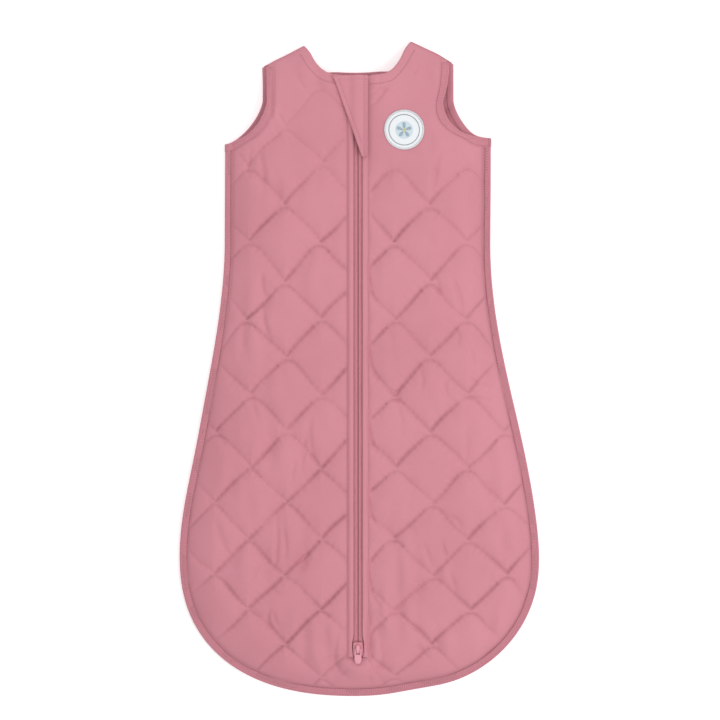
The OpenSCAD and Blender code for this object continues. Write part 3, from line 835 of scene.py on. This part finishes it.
def front_outline():
    """One half of the front: side, armhole, shoulder, neck, the lip beside the zip and the middle below."""
    side, arm = side_and_arm(front_arm)
    neck = front_neck[::-1] + inward(front_neck[::-1]) * 0.5
    neck = neck[(neck[:, 0] > LIP_X + 0.6) & (neck[:, 0] < NECK_HALF - 0.6)]
    seam = np.array([[FRONT_ARM_X - ARM_EDGE, TIP_Y + 3.5], [NECK_HALF + 0.5, TOP_Y - 0.7]])
    ys = np.linspace(ZIP_TOP + 1.6, ZIP_END + 4, 430)
    lip = np.stack([lip_half(ys), ys], 1)
    a = np.linspace(0, math.pi / 2, 9)
    end = np.stack([lip[-1, 0] * np.cos(a), ZIP_END + 4 - 4 * np.sin(a)], 1)[1:]
    below = np.array([[0, ZIP_END], [0, HEM_Y + EDGE]])
    edge = [resample(part, STEP) for part in (side, arm, seam, neck, lip)]
    loop = np.concatenate([*edge, end[:-1], resample(below, STEP)[:-1]])
    keep = np.linalg.norm(loop - np.roll(loop, 1, 0), axis=1) > 0.25
    return loop[keep]


plan = front_outline()
for side in (1, -1):
    name = SIDE_NAME[side]
    outline = mirrored(plan, side)
    o = pad(f"{name}_front_quilt", outline, lambda x, y: front_top(x, y, True), front_under,
            STEP, UNDER_STEP, [outer_cloth, lining_cloth],
            crisp=(np.abs(outline[:, 0]) < 0.01) & (outline[:, 1] < ZIP_END + 1))
    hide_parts("front_outer", "front_wadding", "front_lining", f"{name}_flap_outer",
                f"{name}_flap_wadding", f"{name}_flap_lining", f"{name}_zip_facing", "lower_zip_facings",
                f"{name}_neck_band")
    with_flap(o)


# ---------------------------------------------------------------- the back
def back_top(x, y):
    """Height of the back's lining, and how much painted shade its creases get."""
    d = to_back_crease(x, y)[0]
    near = ease(seam_table(x, y) / 27)
    z = level(x, y, 2) - (0.9 * bell(d, 6) + 0.5 * bell(d, 1.8)) * near
    z = z + 0.2 * medium(x, y) * near
    return z, 0.7 * bell(d, 1.9)


def back_lining(x, y):
    return back_top(x, y)[0]


def back_under(x, y, least=0.0):
    """Height of the back's outer face, which is drawn up from the floor at its creases."""
    d = to_back_crease(x, y)[0]
    drawn = 0.9 * bell(d, 5) + 0.5 * bell(d, 1.6)
    return np.maximum(0.05 + drawn * ease(seam_table(x, y) / 27), least)


def back_outer(x, y):
    """The same height, and how much painted shade that face's creases get."""
    return back_under(x, y), 0.85 * bell(to_back_crease(x, y)[0], 2.0)


def back_outline():
    side, arm = side_and_arm(back_arm)
    neck = back_neck[::-1] + inward(back_neck[::-1]) * ARM_EDGE
    neck = neck[neck[:, 0] < NECK_HALF - 1.2]
    seam = np.array([[SHOULDER_HALF - ARM_EDGE, TIP_Y + 0.9], [NECK_HALF + 0.6, TOP_Y - 0.7]])
    half = np.concatenate([resample(part, STEP * 1.3) for part in (side, arm, seam, neck)])
    keep = np.linalg.norm(half - np.roll(half, 1, 0), axis=1) > 0.3
    half = half[keep]
    half = half[half[:, 0] > 0.3]
    ends = np.array([[0, HEM_Y + EDGE], [0, BACK_NECK[0][1] - ARM_EDGE]])
    return np.concatenate([ends[:1], half, ends[1:], (half * (-1, 1))[::-1]])


back = pad("back_quilt", back_outline(), back_top, back_outer, UNDER_STEP * 0.75, UNDER_STEP,
           [lining_cloth, outer_cloth])
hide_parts("back_outer", "back_wadding", "back_lining")
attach(back, "sack")


# ---------------------------------------------------------------- bindings and bands
CLOTH = 0.5  # thickness of the bindings' cloth


def band(line, normals, width, top, under, stand):
    """Rings of a strip folded over an edge: on top of the panel, round its rim and along its underside.
    line is the edge, and normals point into the panel."""
    width = np.broadcast_to(width, len(line))
    s_top = np.stack([width, width - 0.35, width - 1.4, width * 0.62, width * 0.35,
                      np.full(len(line), 1.4), np.full(len(line), 0.45)], 1)
    lift = np.array([0.0, 0.9, 1.0, 1.0, 1.0, 0.85, 0.35]) * stand
    stations = [line + normals * s[:, None] for s in s_top.T]
    z_top = np.stack([top(p[:, 0], p[:, 1]) for p in stations], 1) + lift
    z_low = np.stack([under(p[:, 0], p[:, 1]) for p in stations], 1) - lift * 0.9
    middle = (z_top[:, -1] + z_low[:, -1]) / 2
    half = np.maximum((z_top[:, -1] - z_low[:, -1]) / 2, 0.7)
    rim = np.radians([60, 30, 0, -30, -60])
    rings = []
    for i in range(len(line)):
        outer = list(zip(s_top[i], z_top[i]))
        outer += [(0.45 * (1 - math.cos(a)), middle[i] + half[i] * math.sin(a)) for a in rim]
        outer += list(zip(s_top[i], z_low[i]))[::-1]
        outer = np.array(outer)
        across = inward(outer)
        inner = outer + across * CLOTH
        ring = np.concatenate([outer, inner[::-1]])
        rings.append(np.column_stack([line[i] + ring[:, :1] * normals[i], ring[:, 1]]))
    return rings


def sewn_edge(name, line, normals, width, top, under, stand, node):
    """A strip folded over an edge of the sack: its shape, which hides the frame's part it replaces and is
    attached to the sack.
    """
    o = sweep(name, band(line, normals, width, top, under, stand), binding_cloth)
    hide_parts(node)
    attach(o, "sack")


def rungs(line, normals, s0, s1, top, spacing, lift):
    """The short threads across a cover-stitched band."""
    s1 = np.broadcast_to(s1, len(line))
    out = []
    for p in resample(np.column_stack([line, normals, s1]), spacing):
        s = np.linspace(s0, p[4], 5)
        q = p[:2] + p[2:4] * s[:, None]
        q = q + (rng.random(2) - 0.5) * 0.12
        z = top(q[:, 0], q[:, 1]) + np.array([-0.1, lift, lift, lift, -0.1])
        out.append(np.column_stack([q, z]))
    return out


def along_band(line, normals, s, top, lift):
    """Stitches along a band, at a distance from its edge."""
    q = line + normals * s
    return running(q, lambda x, y: top(x, y) + lift, stitch=2.1, space=0.6, lift=0.14, sink=0.3)


# round the sides and the hem: one folded strip from underarm to underarm
half = side_curve(0.0, UNDERARM_Y - 6.4)
edge_line = resample(np.concatenate([(half * (-1, 1))[::-1], half[1:]]), 2.0)
edge_in = inward(edge_line)
EDGE_TOP = float(level(np.array([60.0]), np.array([HEM_Y + BINDING_W + 1]), 6)[0])


def edge_top(x, y):
    """Top of the sewn edge, which swells a little between the panel and its rim."""
    return np.full(np.shape(x), EDGE_TOP - 0.45) + 0.12 * medium(x, y)


edge_width = BINDING_W - 1.5 * smooth((edge_line[:, 1] + 60) / 240)
sewn_edge("side_and_hem_edge", edge_line, edge_in, edge_width, edge_top,
          lambda x, y: np.full(np.shape(x), 0.42), 0.4, "side_and_hem_binding")
paths = rungs(edge_line, edge_in, 1.9, edge_width - 1.1, edge_top, spacing=2.4, lift=0.42)
paths += along_band(edge_line, edge_in, 1.7, edge_top, lift=0.38)
stitches("side_and_hem_stitches", paths, rung_thread, 0.34)
paths = along_band(edge_line, edge_in, edge_width[:, None] - 0.7, edge_top, lift=0.38)
stitches("side_and_hem_seam", paths, seam_thread, 0.42)

FRONT_BAND_W, BACK_BAND_W = 8.2, 7.4
for side in (1, -1):
    name = SIDE_NAME[side]
    # armholes: the front's edge arches up, the back's lies flat
    line = resample(front_arm, 1.6)
    line = line[line[:, 1] < TIP_Y + 1.2]
    normals = inward(line) * (side, 1)
    line = line * (side, 1)
    sewn_edge(f"{name}_front_armhole_edge", line, normals, FRONT_BAND_W, front_top, front_under, 0.5,
              f"{name}_armhole_band")
    paths = rungs(line, normals, 2.0, FRONT_BAND_W - 1.0, front_top, spacing=2.6, lift=0.48)
    for s in (1.9, FRONT_BAND_W - 1.0):
        paths += along_band(line, normals, s, front_top, lift=0.45)
    stitches(f"{name}_front_armhole_stitches", paths, rung_thread, 0.22)

    line = resample(back_arm, 2.0)
    sewn_edge(f"{name}_back_armhole_edge", line * (side, 1), inward(line) * (side, 1), BACK_BAND_W,
              back_lining, lambda x, y: back_under(x, y, 0.5), 0.45,
              f"{name}_armhole_band")

    # dense stitches that close the corner under the arm
    paths = []
    for y in np.arange(UNDERARM_Y - 7.8, UNDERARM_Y - 0.1, 0.58):
        x = float(side_x(y))
        top = float(front_top(np.array([x - 2.5]), np.array([y]))[0]) + 0.45
        around = [(x - 2.6, top - 0.2), (x - 2.2, top + 0.3), (x - 0.3, top), (x + 0.15, top - 0.8),
                  (x + 0.15, 1.2), (x - 0.4, 0.5), (x - 2.2, 0.35)]
        paths.append(np.array([(a * side, y, z) for a, z in around]))
    stitches(f"{name}_underarm_stitches", paths, rung_thread, 0.33)

# the back's neck edge
line = resample(np.concatenate([(back_neck * (-1, 1))[::-1], back_neck[1:]]), 2.0)
line = line[np.abs(line[:, 0]) < NECK_HALF - 0.8]
normals = inward(line, left=False)
sewn_edge("back_neck_edge", line, normals, BACK_BAND_W, back_lining,
          lambda x, y: back_under(x, y, 0.5), 0.45,
          "back_neck_band")
paths = along_band(line, normals, 6.3, back_lining, lift=0.45)
stitches("back_neck_stitches", paths, rose_thread, 0.24)


# ---------------------------------------------------------------- stitches in the front and the back
def in_front(x, y, margin=1.5):
    """Whether points lie on the quilted front, clear of its sewn edges and of the bands."""
    ax = np.abs(x)
    hem = HIP_Y - (HEM_DEPTH - BINDING_W - margin) * (
        1 - np.minimum(ax / (HIP_HALF - BINDING_W - margin), 1) ** HEM_POWER) ** (1 / HEM_POWER)
    arm_x = np.interp(y, front_arm[:, 1], front_arm[:, 0])
    return ((ax < side_x(y) - BINDING_W - margin) & (y > hem) & (ax < arm_x)
            & (open_table(x, y) > ARM_CLEAR + 4) & (seam_table(x, y) > margin))


def quilting(lines, inside, height, lift, sink):
    """Stitches along the parts of the creases that lie inside."""
    paths = []
    for line in lines:
        keep = inside(line[:, 0], line[:, 1])
        for part in np.split(np.arange(len(line)), np.flatnonzero(np.diff(keep.astype(int))) + 1):
            if keep[part[0]] and len(part) > 8:
                paths += running(line[part], height, stitch=2.9, space=0.5, lift=lift, sink=sink)
    return paths


for side in (1, -1):
    name = SIDE_NAME[side]
    paths = quilting(crease_lines, lambda x, y: (x * side > STITCH_LINE + 2.5) & in_front(x, y), front_top,
                     lift=-0.05, sink=0.4)
    stitches(f"{name}_quilting_stitches", paths, rose_thread, 0.26, side)

    line = np.array([[STITCH_LINE * side, ZIP_END + 1.5], [STITCH_LINE * side, ZIP_TOP + 0.5]])
    paths = running(line, front_top, stitch=2.5, space=0.8, lift=0.1, sink=0.45)
    neck = front_neck[front_neck[:, 0] > LIP_X + 2]
    neck = (neck + inward(neck, left=False) * ARM_STITCH) * (side, 1)
    neck = neck[np.abs(neck[:, 0]) > STITCH_LINE + 1]
    neck = neck[seam_table(neck[:, 0], neck[:, 1]) > 3]
    paths += running(neck, front_top, stitch=2.5, space=0.8, lift=0.1, sink=0.45)
    stitches(f"{name}_edge_stitches", paths, rose_thread, 0.28, side)

BACK_TOP_Y = 300.0  # the back's stitches end below the neck's band
paths = quilting(back_lines, lambda x, y: in_front(x, y, 5.0) & (y < BACK_TOP_Y),
                 lambda x, y: back_under(x, y, 0.45), lift=-0.1, sink=-0.4)
stitches("back_quilting_stitches", paths, rose_thread, 0.26, sides=4)

paths = []
for side in (1, -1):
    line = np.array([[4.0 * side, ZIP_END + 3.4], [9.8 * side, ZIP_END + 3.4]])
    paths += running(line, front_top, stitch=1.5, space=0.4, lift=0.35, sink=0.5)
stitches("zip_foot_stitches", paths, seam_thread, 0.36)


# ---------------------------------------------------------------- the zip
COIL_PITCH, COIL_R, TAPE_T = 1.27, 0.27, 0.42
# across the tape, from the middle of the zip: where, and how high above the chain's middle
TAPE_X = np.array([0.30, 0.45, 1.1, 2.4, 4.0, 4.9, 5.8, 7.8, 11.6, 12.2])
TAPE_UP = np.array([0.95, 1.22, 1.36, 1.38, 1.34, 1.1, 0.5, 0.25, 0.22, 0.05])


def tape(side):
    """The tape, whose edge is turned over the coil: the coil is on the inside of the bag. It lies low
    up to the slider, and again where the slider ends its way."""
    rings = []
    end = SLIDER_Y + SLIDE
    for y in np.arange(ZIP_END + 0.8, ZIP_TOP + 0.4, 3.0):
        over = 1 - smooth((SLIDER_Y + 9.8 - y) / 2.5)
        over = over * (1 - window(y, end - 12, end - 9, end + 9.8, end + 12.3))
        top = CHAIN_Z + 0.1 + (TAPE_UP - 0.1) * over
        ring = [(x * side, y, z) for x, z in zip(TAPE_X, top)]
        ring += [(x * side, y, z - TAPE_T) for x, z in zip(TAPE_X[::-1], top[::-1])]
        rings.append(ring)
    return rings


def coil(side):
    """A coil of nylon: each turn wraps the tape's edge and reaches for the other side's."""
    y0, y1 = SLIDER_Y - 1.0, ZIP_TOP - 8
    per_turn = 9
    turns = int((y1 - y0) / COIL_PITCH)
    t = np.linspace(0, turns, turns * per_turn + 1)
    a = 2 * math.pi * t
    reach = np.cos(a)
    x = 1.75 - 1.25 * np.sign(reach) * np.abs(reach) ** 0.7
    z = CHAIN_Z + 0.95 * np.sin(a)
    y = y0 + t * COIL_PITCH + (0 if side > 0 else COIL_PITCH / 2)
    line = np.stack([x * side, y, z], 1)
    d = np.gradient(line, axis=0)
    d /= np.linalg.norm(d, axis=1, keepdims=True)
    across = np.cross(d, (0, 1.0, 0))
    across /= np.maximum(np.linalg.norm(across, axis=1, keepdims=True), 1e-9)
    up = np.cross(across, d)
    turn = np.linspace(0, 2 * math.pi, 5, endpoint=False)[None, :, None]
    return line[:, None] + COIL_R * (across[:, None] * np.cos(turn) + up[:, None] * np.sin(turn))


for side in (1, -1):
    name = SIDE_NAME[side]
    o = sweep(f"{name}_tape_cloth", tape(side), tape_cloth)
    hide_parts(f"{name}_zip_tape", "lower_zip_tapes")
    with_flap(o)
    o = sweep(f"{name}_coil_loops", coil(side), coil_nylon)
    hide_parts(f"{name}_zip_coil", "lower_zip_coils")
    with_flap(o)
    # two rows that sew the coil to its tape, seen from inside the bag
    line = np.array([[2.9 * side, SLIDER_Y + 4], [2.9 * side, ZIP_TOP - 9]])
    paths = running(line, lambda x, y: np.full(len(x), CHAIN_Z + 1.02), stitch=2.2, space=0.3, lift=0.1,
                    sink=0.25)
    stitches(f"{name}_coil_stitches", paths, tape_cloth, 0.2, side, sides=4)

# hard trim keeps the frame's own solids, with softened edges
for names, m, width in ((["slider_body"], slider_paint, 0.45), (["slider_bridge"], pull_paint, 0.3),
                        (["pull_tab"], pull_paint, 0.35),
                        (["zip_end_stops", "insertion_pin", "retainer_box"], coil_nylon, 0.25)):
    for n in names:
        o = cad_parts[n]
        o.data.materials.clear()
        o.data.materials.append(m)
        weld = o.modifiers.new("weld", "WELD")
        weld.merge_threshold = 0.00001
        bevel = o.modifiers.new("bevel", "BEVEL")
        bevel.width, bevel.segments, bevel.limit_method = width * MM, 3, "ANGLE"
        bevel.angle_limit = math.radians(35)
        bevel.harden_normals = False
        for p in o.data.polygons:
            p.use_smooth = False


# ---------------------------------------------------------------- the chin guard
GUARD_TOP, GUARD_LOW = 312.0, 225.0
GUARD_T = 1.3  # thickness
GUARD_SEAM = 6.7  # where the guard is sewn down


def guard_under(x, y):
    """It rides over the zip with room for the slider, and rests on the front at its free edge."""
    ridge = CHAIN_Z + 4.2 + 3.0 * np.exp(-((np.abs(x - 0.2) / 7.0) ** 3))
    rise = CHAIN_Z + 4.2 + 2.4 * window(x, -3, 3, 6.5, 9.0)
    lies = front_top(np.where(np.abs(x) < 7, np.sign(x) * 7, x), y) + 0.25
    return np.maximum(np.maximum(ridge, rise), lies)


def guard_top(x, y):
    """Its outer face, with a turned edge and the line where it is sewn down."""
    z = guard_under(x, y) + GUARD_T * (1 - 0.72 * smooth((x - 7.6) / 2.4))
    edge_d = np.minimum(
        np.abs((x + 26.7) * 87 - (GUARD_TOP - y) * 31.2) / math.hypot(87, 31.2), np.abs(GUARD_TOP - y))
    z = z + 0.35 * bell(edge_d - 1.2, 1.6) - 0.2 * bell(edge_d - 4.6, 0.8)
    sewn_line = bell(x - GUARD_SEAM, 0.75)
    z = z - 0.75 * sewn_line
    # the second value is painted shade along the sewn line and inside the turned edge
    return z, np.maximum(0.25 * bell(edge_d - 4.6, 0.7), sewn_line)


def guard_face(x, y):
    return guard_top(x, y)[0]


corners = np.array([[-26.7, GUARD_TOP], [-25.2, GUARD_TOP - 3.4], [-11.5, 270.5], [3.9, 226.6],
                    [6.0, GUARD_LOW], [8.2, 226.0], [10.2, 229.5], [10.4, GUARD_TOP - 1.2],
                    [9.6, GUARD_TOP - 0.2]])
loop = resample(np.concatenate([corners, corners[:1]]), 1.2)[:-1]
o = pad("chin_guard_cloth", loop, guard_top, guard_under, 1.6, 3.0,
        [outer_cloth, lining_cloth])
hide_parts("chin_guard", "chin_guard_base")
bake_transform(o)
line = np.array([[9.2, GUARD_LOW + 4], [9.2, GUARD_TOP - 1.5]])
paths = running(line, guard_face, stitch=2.5, space=0.8, lift=0.08, sink=0.4)
line = np.array([[-20.6, GUARD_TOP - 3.2], [-9.5, 277.0], [4.0, 238.6]])
paths += running(line, guard_face, stitch=2.5, space=0.8, lift=0.05, sink=0.4)
o = threads("chin_guard_stitches", paths, rose_thread, radius=0.24)
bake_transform(o)


# ---------------------------------------------------------------- the badge
def disc(name, radius, height, thick, mat, rings):
    """A thin round patch, slightly domed, that follows the front under it."""
    spokes, dome = 96, 0.35
    t = np.linspace(0, 1, rings)[1:]
    a = np.linspace(0, 2 * math.pi, spokes, endpoint=False)
    x = BADGE[0] + np.concatenate([[0], np.outer(t, np.cos(a) * radius).ravel()])
    y = BADGE[1] + np.concatenate([[0], np.outer(t, np.sin(a) * radius).ravel()])
    fall = np.concatenate([[0], np.repeat(t, spokes)])
    z = badge_ground(x, y) + height + thick * (1 - fall**6) + dome * (1 - fall**2) - thick * 0.2
    low = badge_ground(x, y) + height - 0.35
    n = len(x)
    verts = np.concatenate([np.column_stack([x, y, z]), np.column_stack([x, y, low])])
    faces = []
    for k in range(spokes):
        j = (k + 1) % spokes
        faces += [(0, 1 + k, 1 + j), (n, n + 1 + j, n + 1 + k)]
        for i in range(rings - 2):
            a0, b0 = 1 + i * spokes, 1 + (i + 1) * spokes
            faces += [(a0 + k, b0 + k, b0 + j, a0 + j), (n + a0 + j, n + b0 + j, n + b0 + k, n + a0 + k)]
        a0 = 1 + (rings - 2) * spokes
        faces.append((a0 + j, a0 + k, n + a0 + k, n + a0 + j))
    return face_outwards(mesh_object(name, verts, faces, [mat]))


def badge_ground(x, y):
    """The front under the badge, smoothed: the stiff patch bridges its small dips."""
    z = front_top(x, y)
    return 0.35 * z + 0.65 * (front_top(np.array([BADGE[0]]), np.array([BADGE[1]]))[0]
                              + (x - BADGE[0]) * TILT[0] + (y - BADGE[1]) * TILT[1])


REACH = 18.0  # from the badge's middle to where the front's slope is taken
around = REACH * np.array([[-1, 0], [1, 0], [0, -1], [0, 1]]) + BADGE[:2]
west, east, south, north = front_top(*around.T)
TILT = ((east - west) / (2 * REACH), (north - south) / (2 * REACH))


def badge_piece(o, slot, *nodes):
    if nodes:
        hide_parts(*nodes)
    with_flap(o)


patch = disc("badge_disc", 21.0, 0.45, 0.55, badge_white, rings=16)
badge_piece(patch, "badge_cloth", "badge_patch")
badge_piece(disc("badge_centre_disc", 10.4, 1.0, 0.45, badge_centre, rings=12), "badge_cloth")


def stitched_ring(name, radius, wide, spacing, mat, height, thread):
    """A ring of short slanting stitches side by side."""
    slant = 0.25
    count = int(2 * math.pi * radius / spacing)
    out = []
    for k in range(count):
        a = 2 * math.pi * k / count
        s = np.linspace(-0.5, 0.5, 5)
        b = a + slant * s * wide / radius
        rr = radius + wide * s
        x, y = BADGE[0] + rr * np.cos(b), BADGE[1] + rr * np.sin(b)
        z = badge_ground(x, y) + height + np.array([-0.5, 0.05, 0.25, 0.05, -0.5])
        out.append(np.column_stack([x, y, z]))
    return threads(name, out, mat, radius=thread)


badge_piece(stitched_ring("badge_edge_stitches", 20.4, 2.0, 0.56, badge_thread, 0.95, 0.32),
            "badge_rim_thread", "badge_rim")
badge_piece(stitched_ring("badge_ring_stitches", 16.2, 0.6, 0.5, grey_thread, 1.05, 0.22),
            "badge_rim_thread")


def petal_paths(cx, cy, long, wide, angle, spacing):
    """Satin stitches that fill a petal from its middle line outwards."""
    c, s = math.cos(angle), math.sin(angle)
    out = []
    for u in np.arange(-0.94, 0.95, spacing / long):
        w = wide * math.sqrt(max(0.0, 1 - u * u)) * (1.0 + 0.18 * u)
        v = np.linspace(-w, w, 5)
        x = cx + c * (u * long) - s * v
        y = cy + s * (u * long) + c * v
        z = badge_ground(x, y) + 1.75 + np.array([-0.5, 0.12, 0.38, 0.12, -0.5])
        out.append(np.column_stack([x, y, z]))
    return out


PETALS, PETAL_OUT, PETAL_THREAD = 5, 5.0, 0.36
paths = []
for k in range(PETALS):
    a = math.pi / 2 + 2 * math.pi * k / PETALS
    x, y = BADGE[0] + PETAL_OUT * math.cos(a), BADGE[1] + PETAL_OUT * math.sin(a)
    paths += petal_paths(x, y, 3.2, 2.0, a, spacing=0.62)
badge_piece(threads("badge_petals", paths, petal_thread, PETAL_THREAD), "badge_motif_thread", "badge_motif")
paths = petal_paths(BADGE[0], BADGE[1], 1.7, 1.6, 0.6, spacing=0.5)
badge_piece(threads("badge_heart", paths, heart_thread, PETAL_THREAD), "badge_motif_thread")

# ---------------------------------------------------------------- floor, light and camera
FLOOR_HALF, FLOOR_Z = 6.0, -0.0006  # in metres
me = bpy.data.meshes.new("floor")
me.from_pydata([(x * FLOOR_HALF, y * FLOOR_HALF, FLOOR_Z) for x, y in ((-1, -1), (1, -1), (1, 1), (-1, 1))],
               [], [(0, 1, 2, 3)])
floor = bpy.data.objects.new("floor", me)
bpy.context.scene.collection.objects.link(floor)


def floor_look(t, shader):
    constants(shader, Base_Color=(0.93, 0.93, 0.93, 1), Roughness=0.9, Specular_IOR_Level=0.1)
    # it glows a little, like a light table, so that shadows stay faint
    constants(shader, Emission_Color=(1, 1, 1, 1), Emission_Strength=0.22)


me.materials.append(material("pale_floor", floor_look))


def area_light(name, place, size, watts):
    """A square white light that faces the bag's middle."""
    data = bpy.data.lights.new(name, "AREA")
    data.shape, data.size, data.energy = "SQUARE", size, watts
    o = bpy.data.objects.new(name, data)
    o.location = place
    o.rotation_mode = "QUATERNION"
    o.rotation_quaternion = (-Vector(place)).to_track_quat("-Z", "Y")
    bpy.context.scene.collection.objects.link(o)


area_light("key_softbox", (2.6, -0.9, 3.6), 2.7, 98)
area_light("fill_softbox", (-0.6, 1.0, 1.5), 1.3, 8.5)
world = bpy.data.worlds.new("studio")
world.use_nodes = True
world.node_tree.nodes["Background"].inputs[0].default_value = (1, 1, 1, 1)
world.node_tree.nodes["Background"].inputs[1].default_value = 0.76
bpy.context.scene.world = world
bpy.context.scene.view_settings.view_transform = "Standard"

# from straight above, far enough away for this width of the scene to fill the picture
SENSOR, LENS, SEEN = 36.0, 180.0, 0.7695
camera_data = bpy.data.cameras.new("camera")
camera_data.sensor_width, camera_data.lens = SENSOR, LENS
camera_data.clip_start, camera_data.clip_end = 0.05, 20.0
camera = bpy.data.objects.new("camera", camera_data)
camera.location = (0.0021, 0.0094, 0.006 + SEEN * LENS / SENSOR)
bpy.context.scene.collection.objects.link(camera)
bpy.context.scene.camera = camera
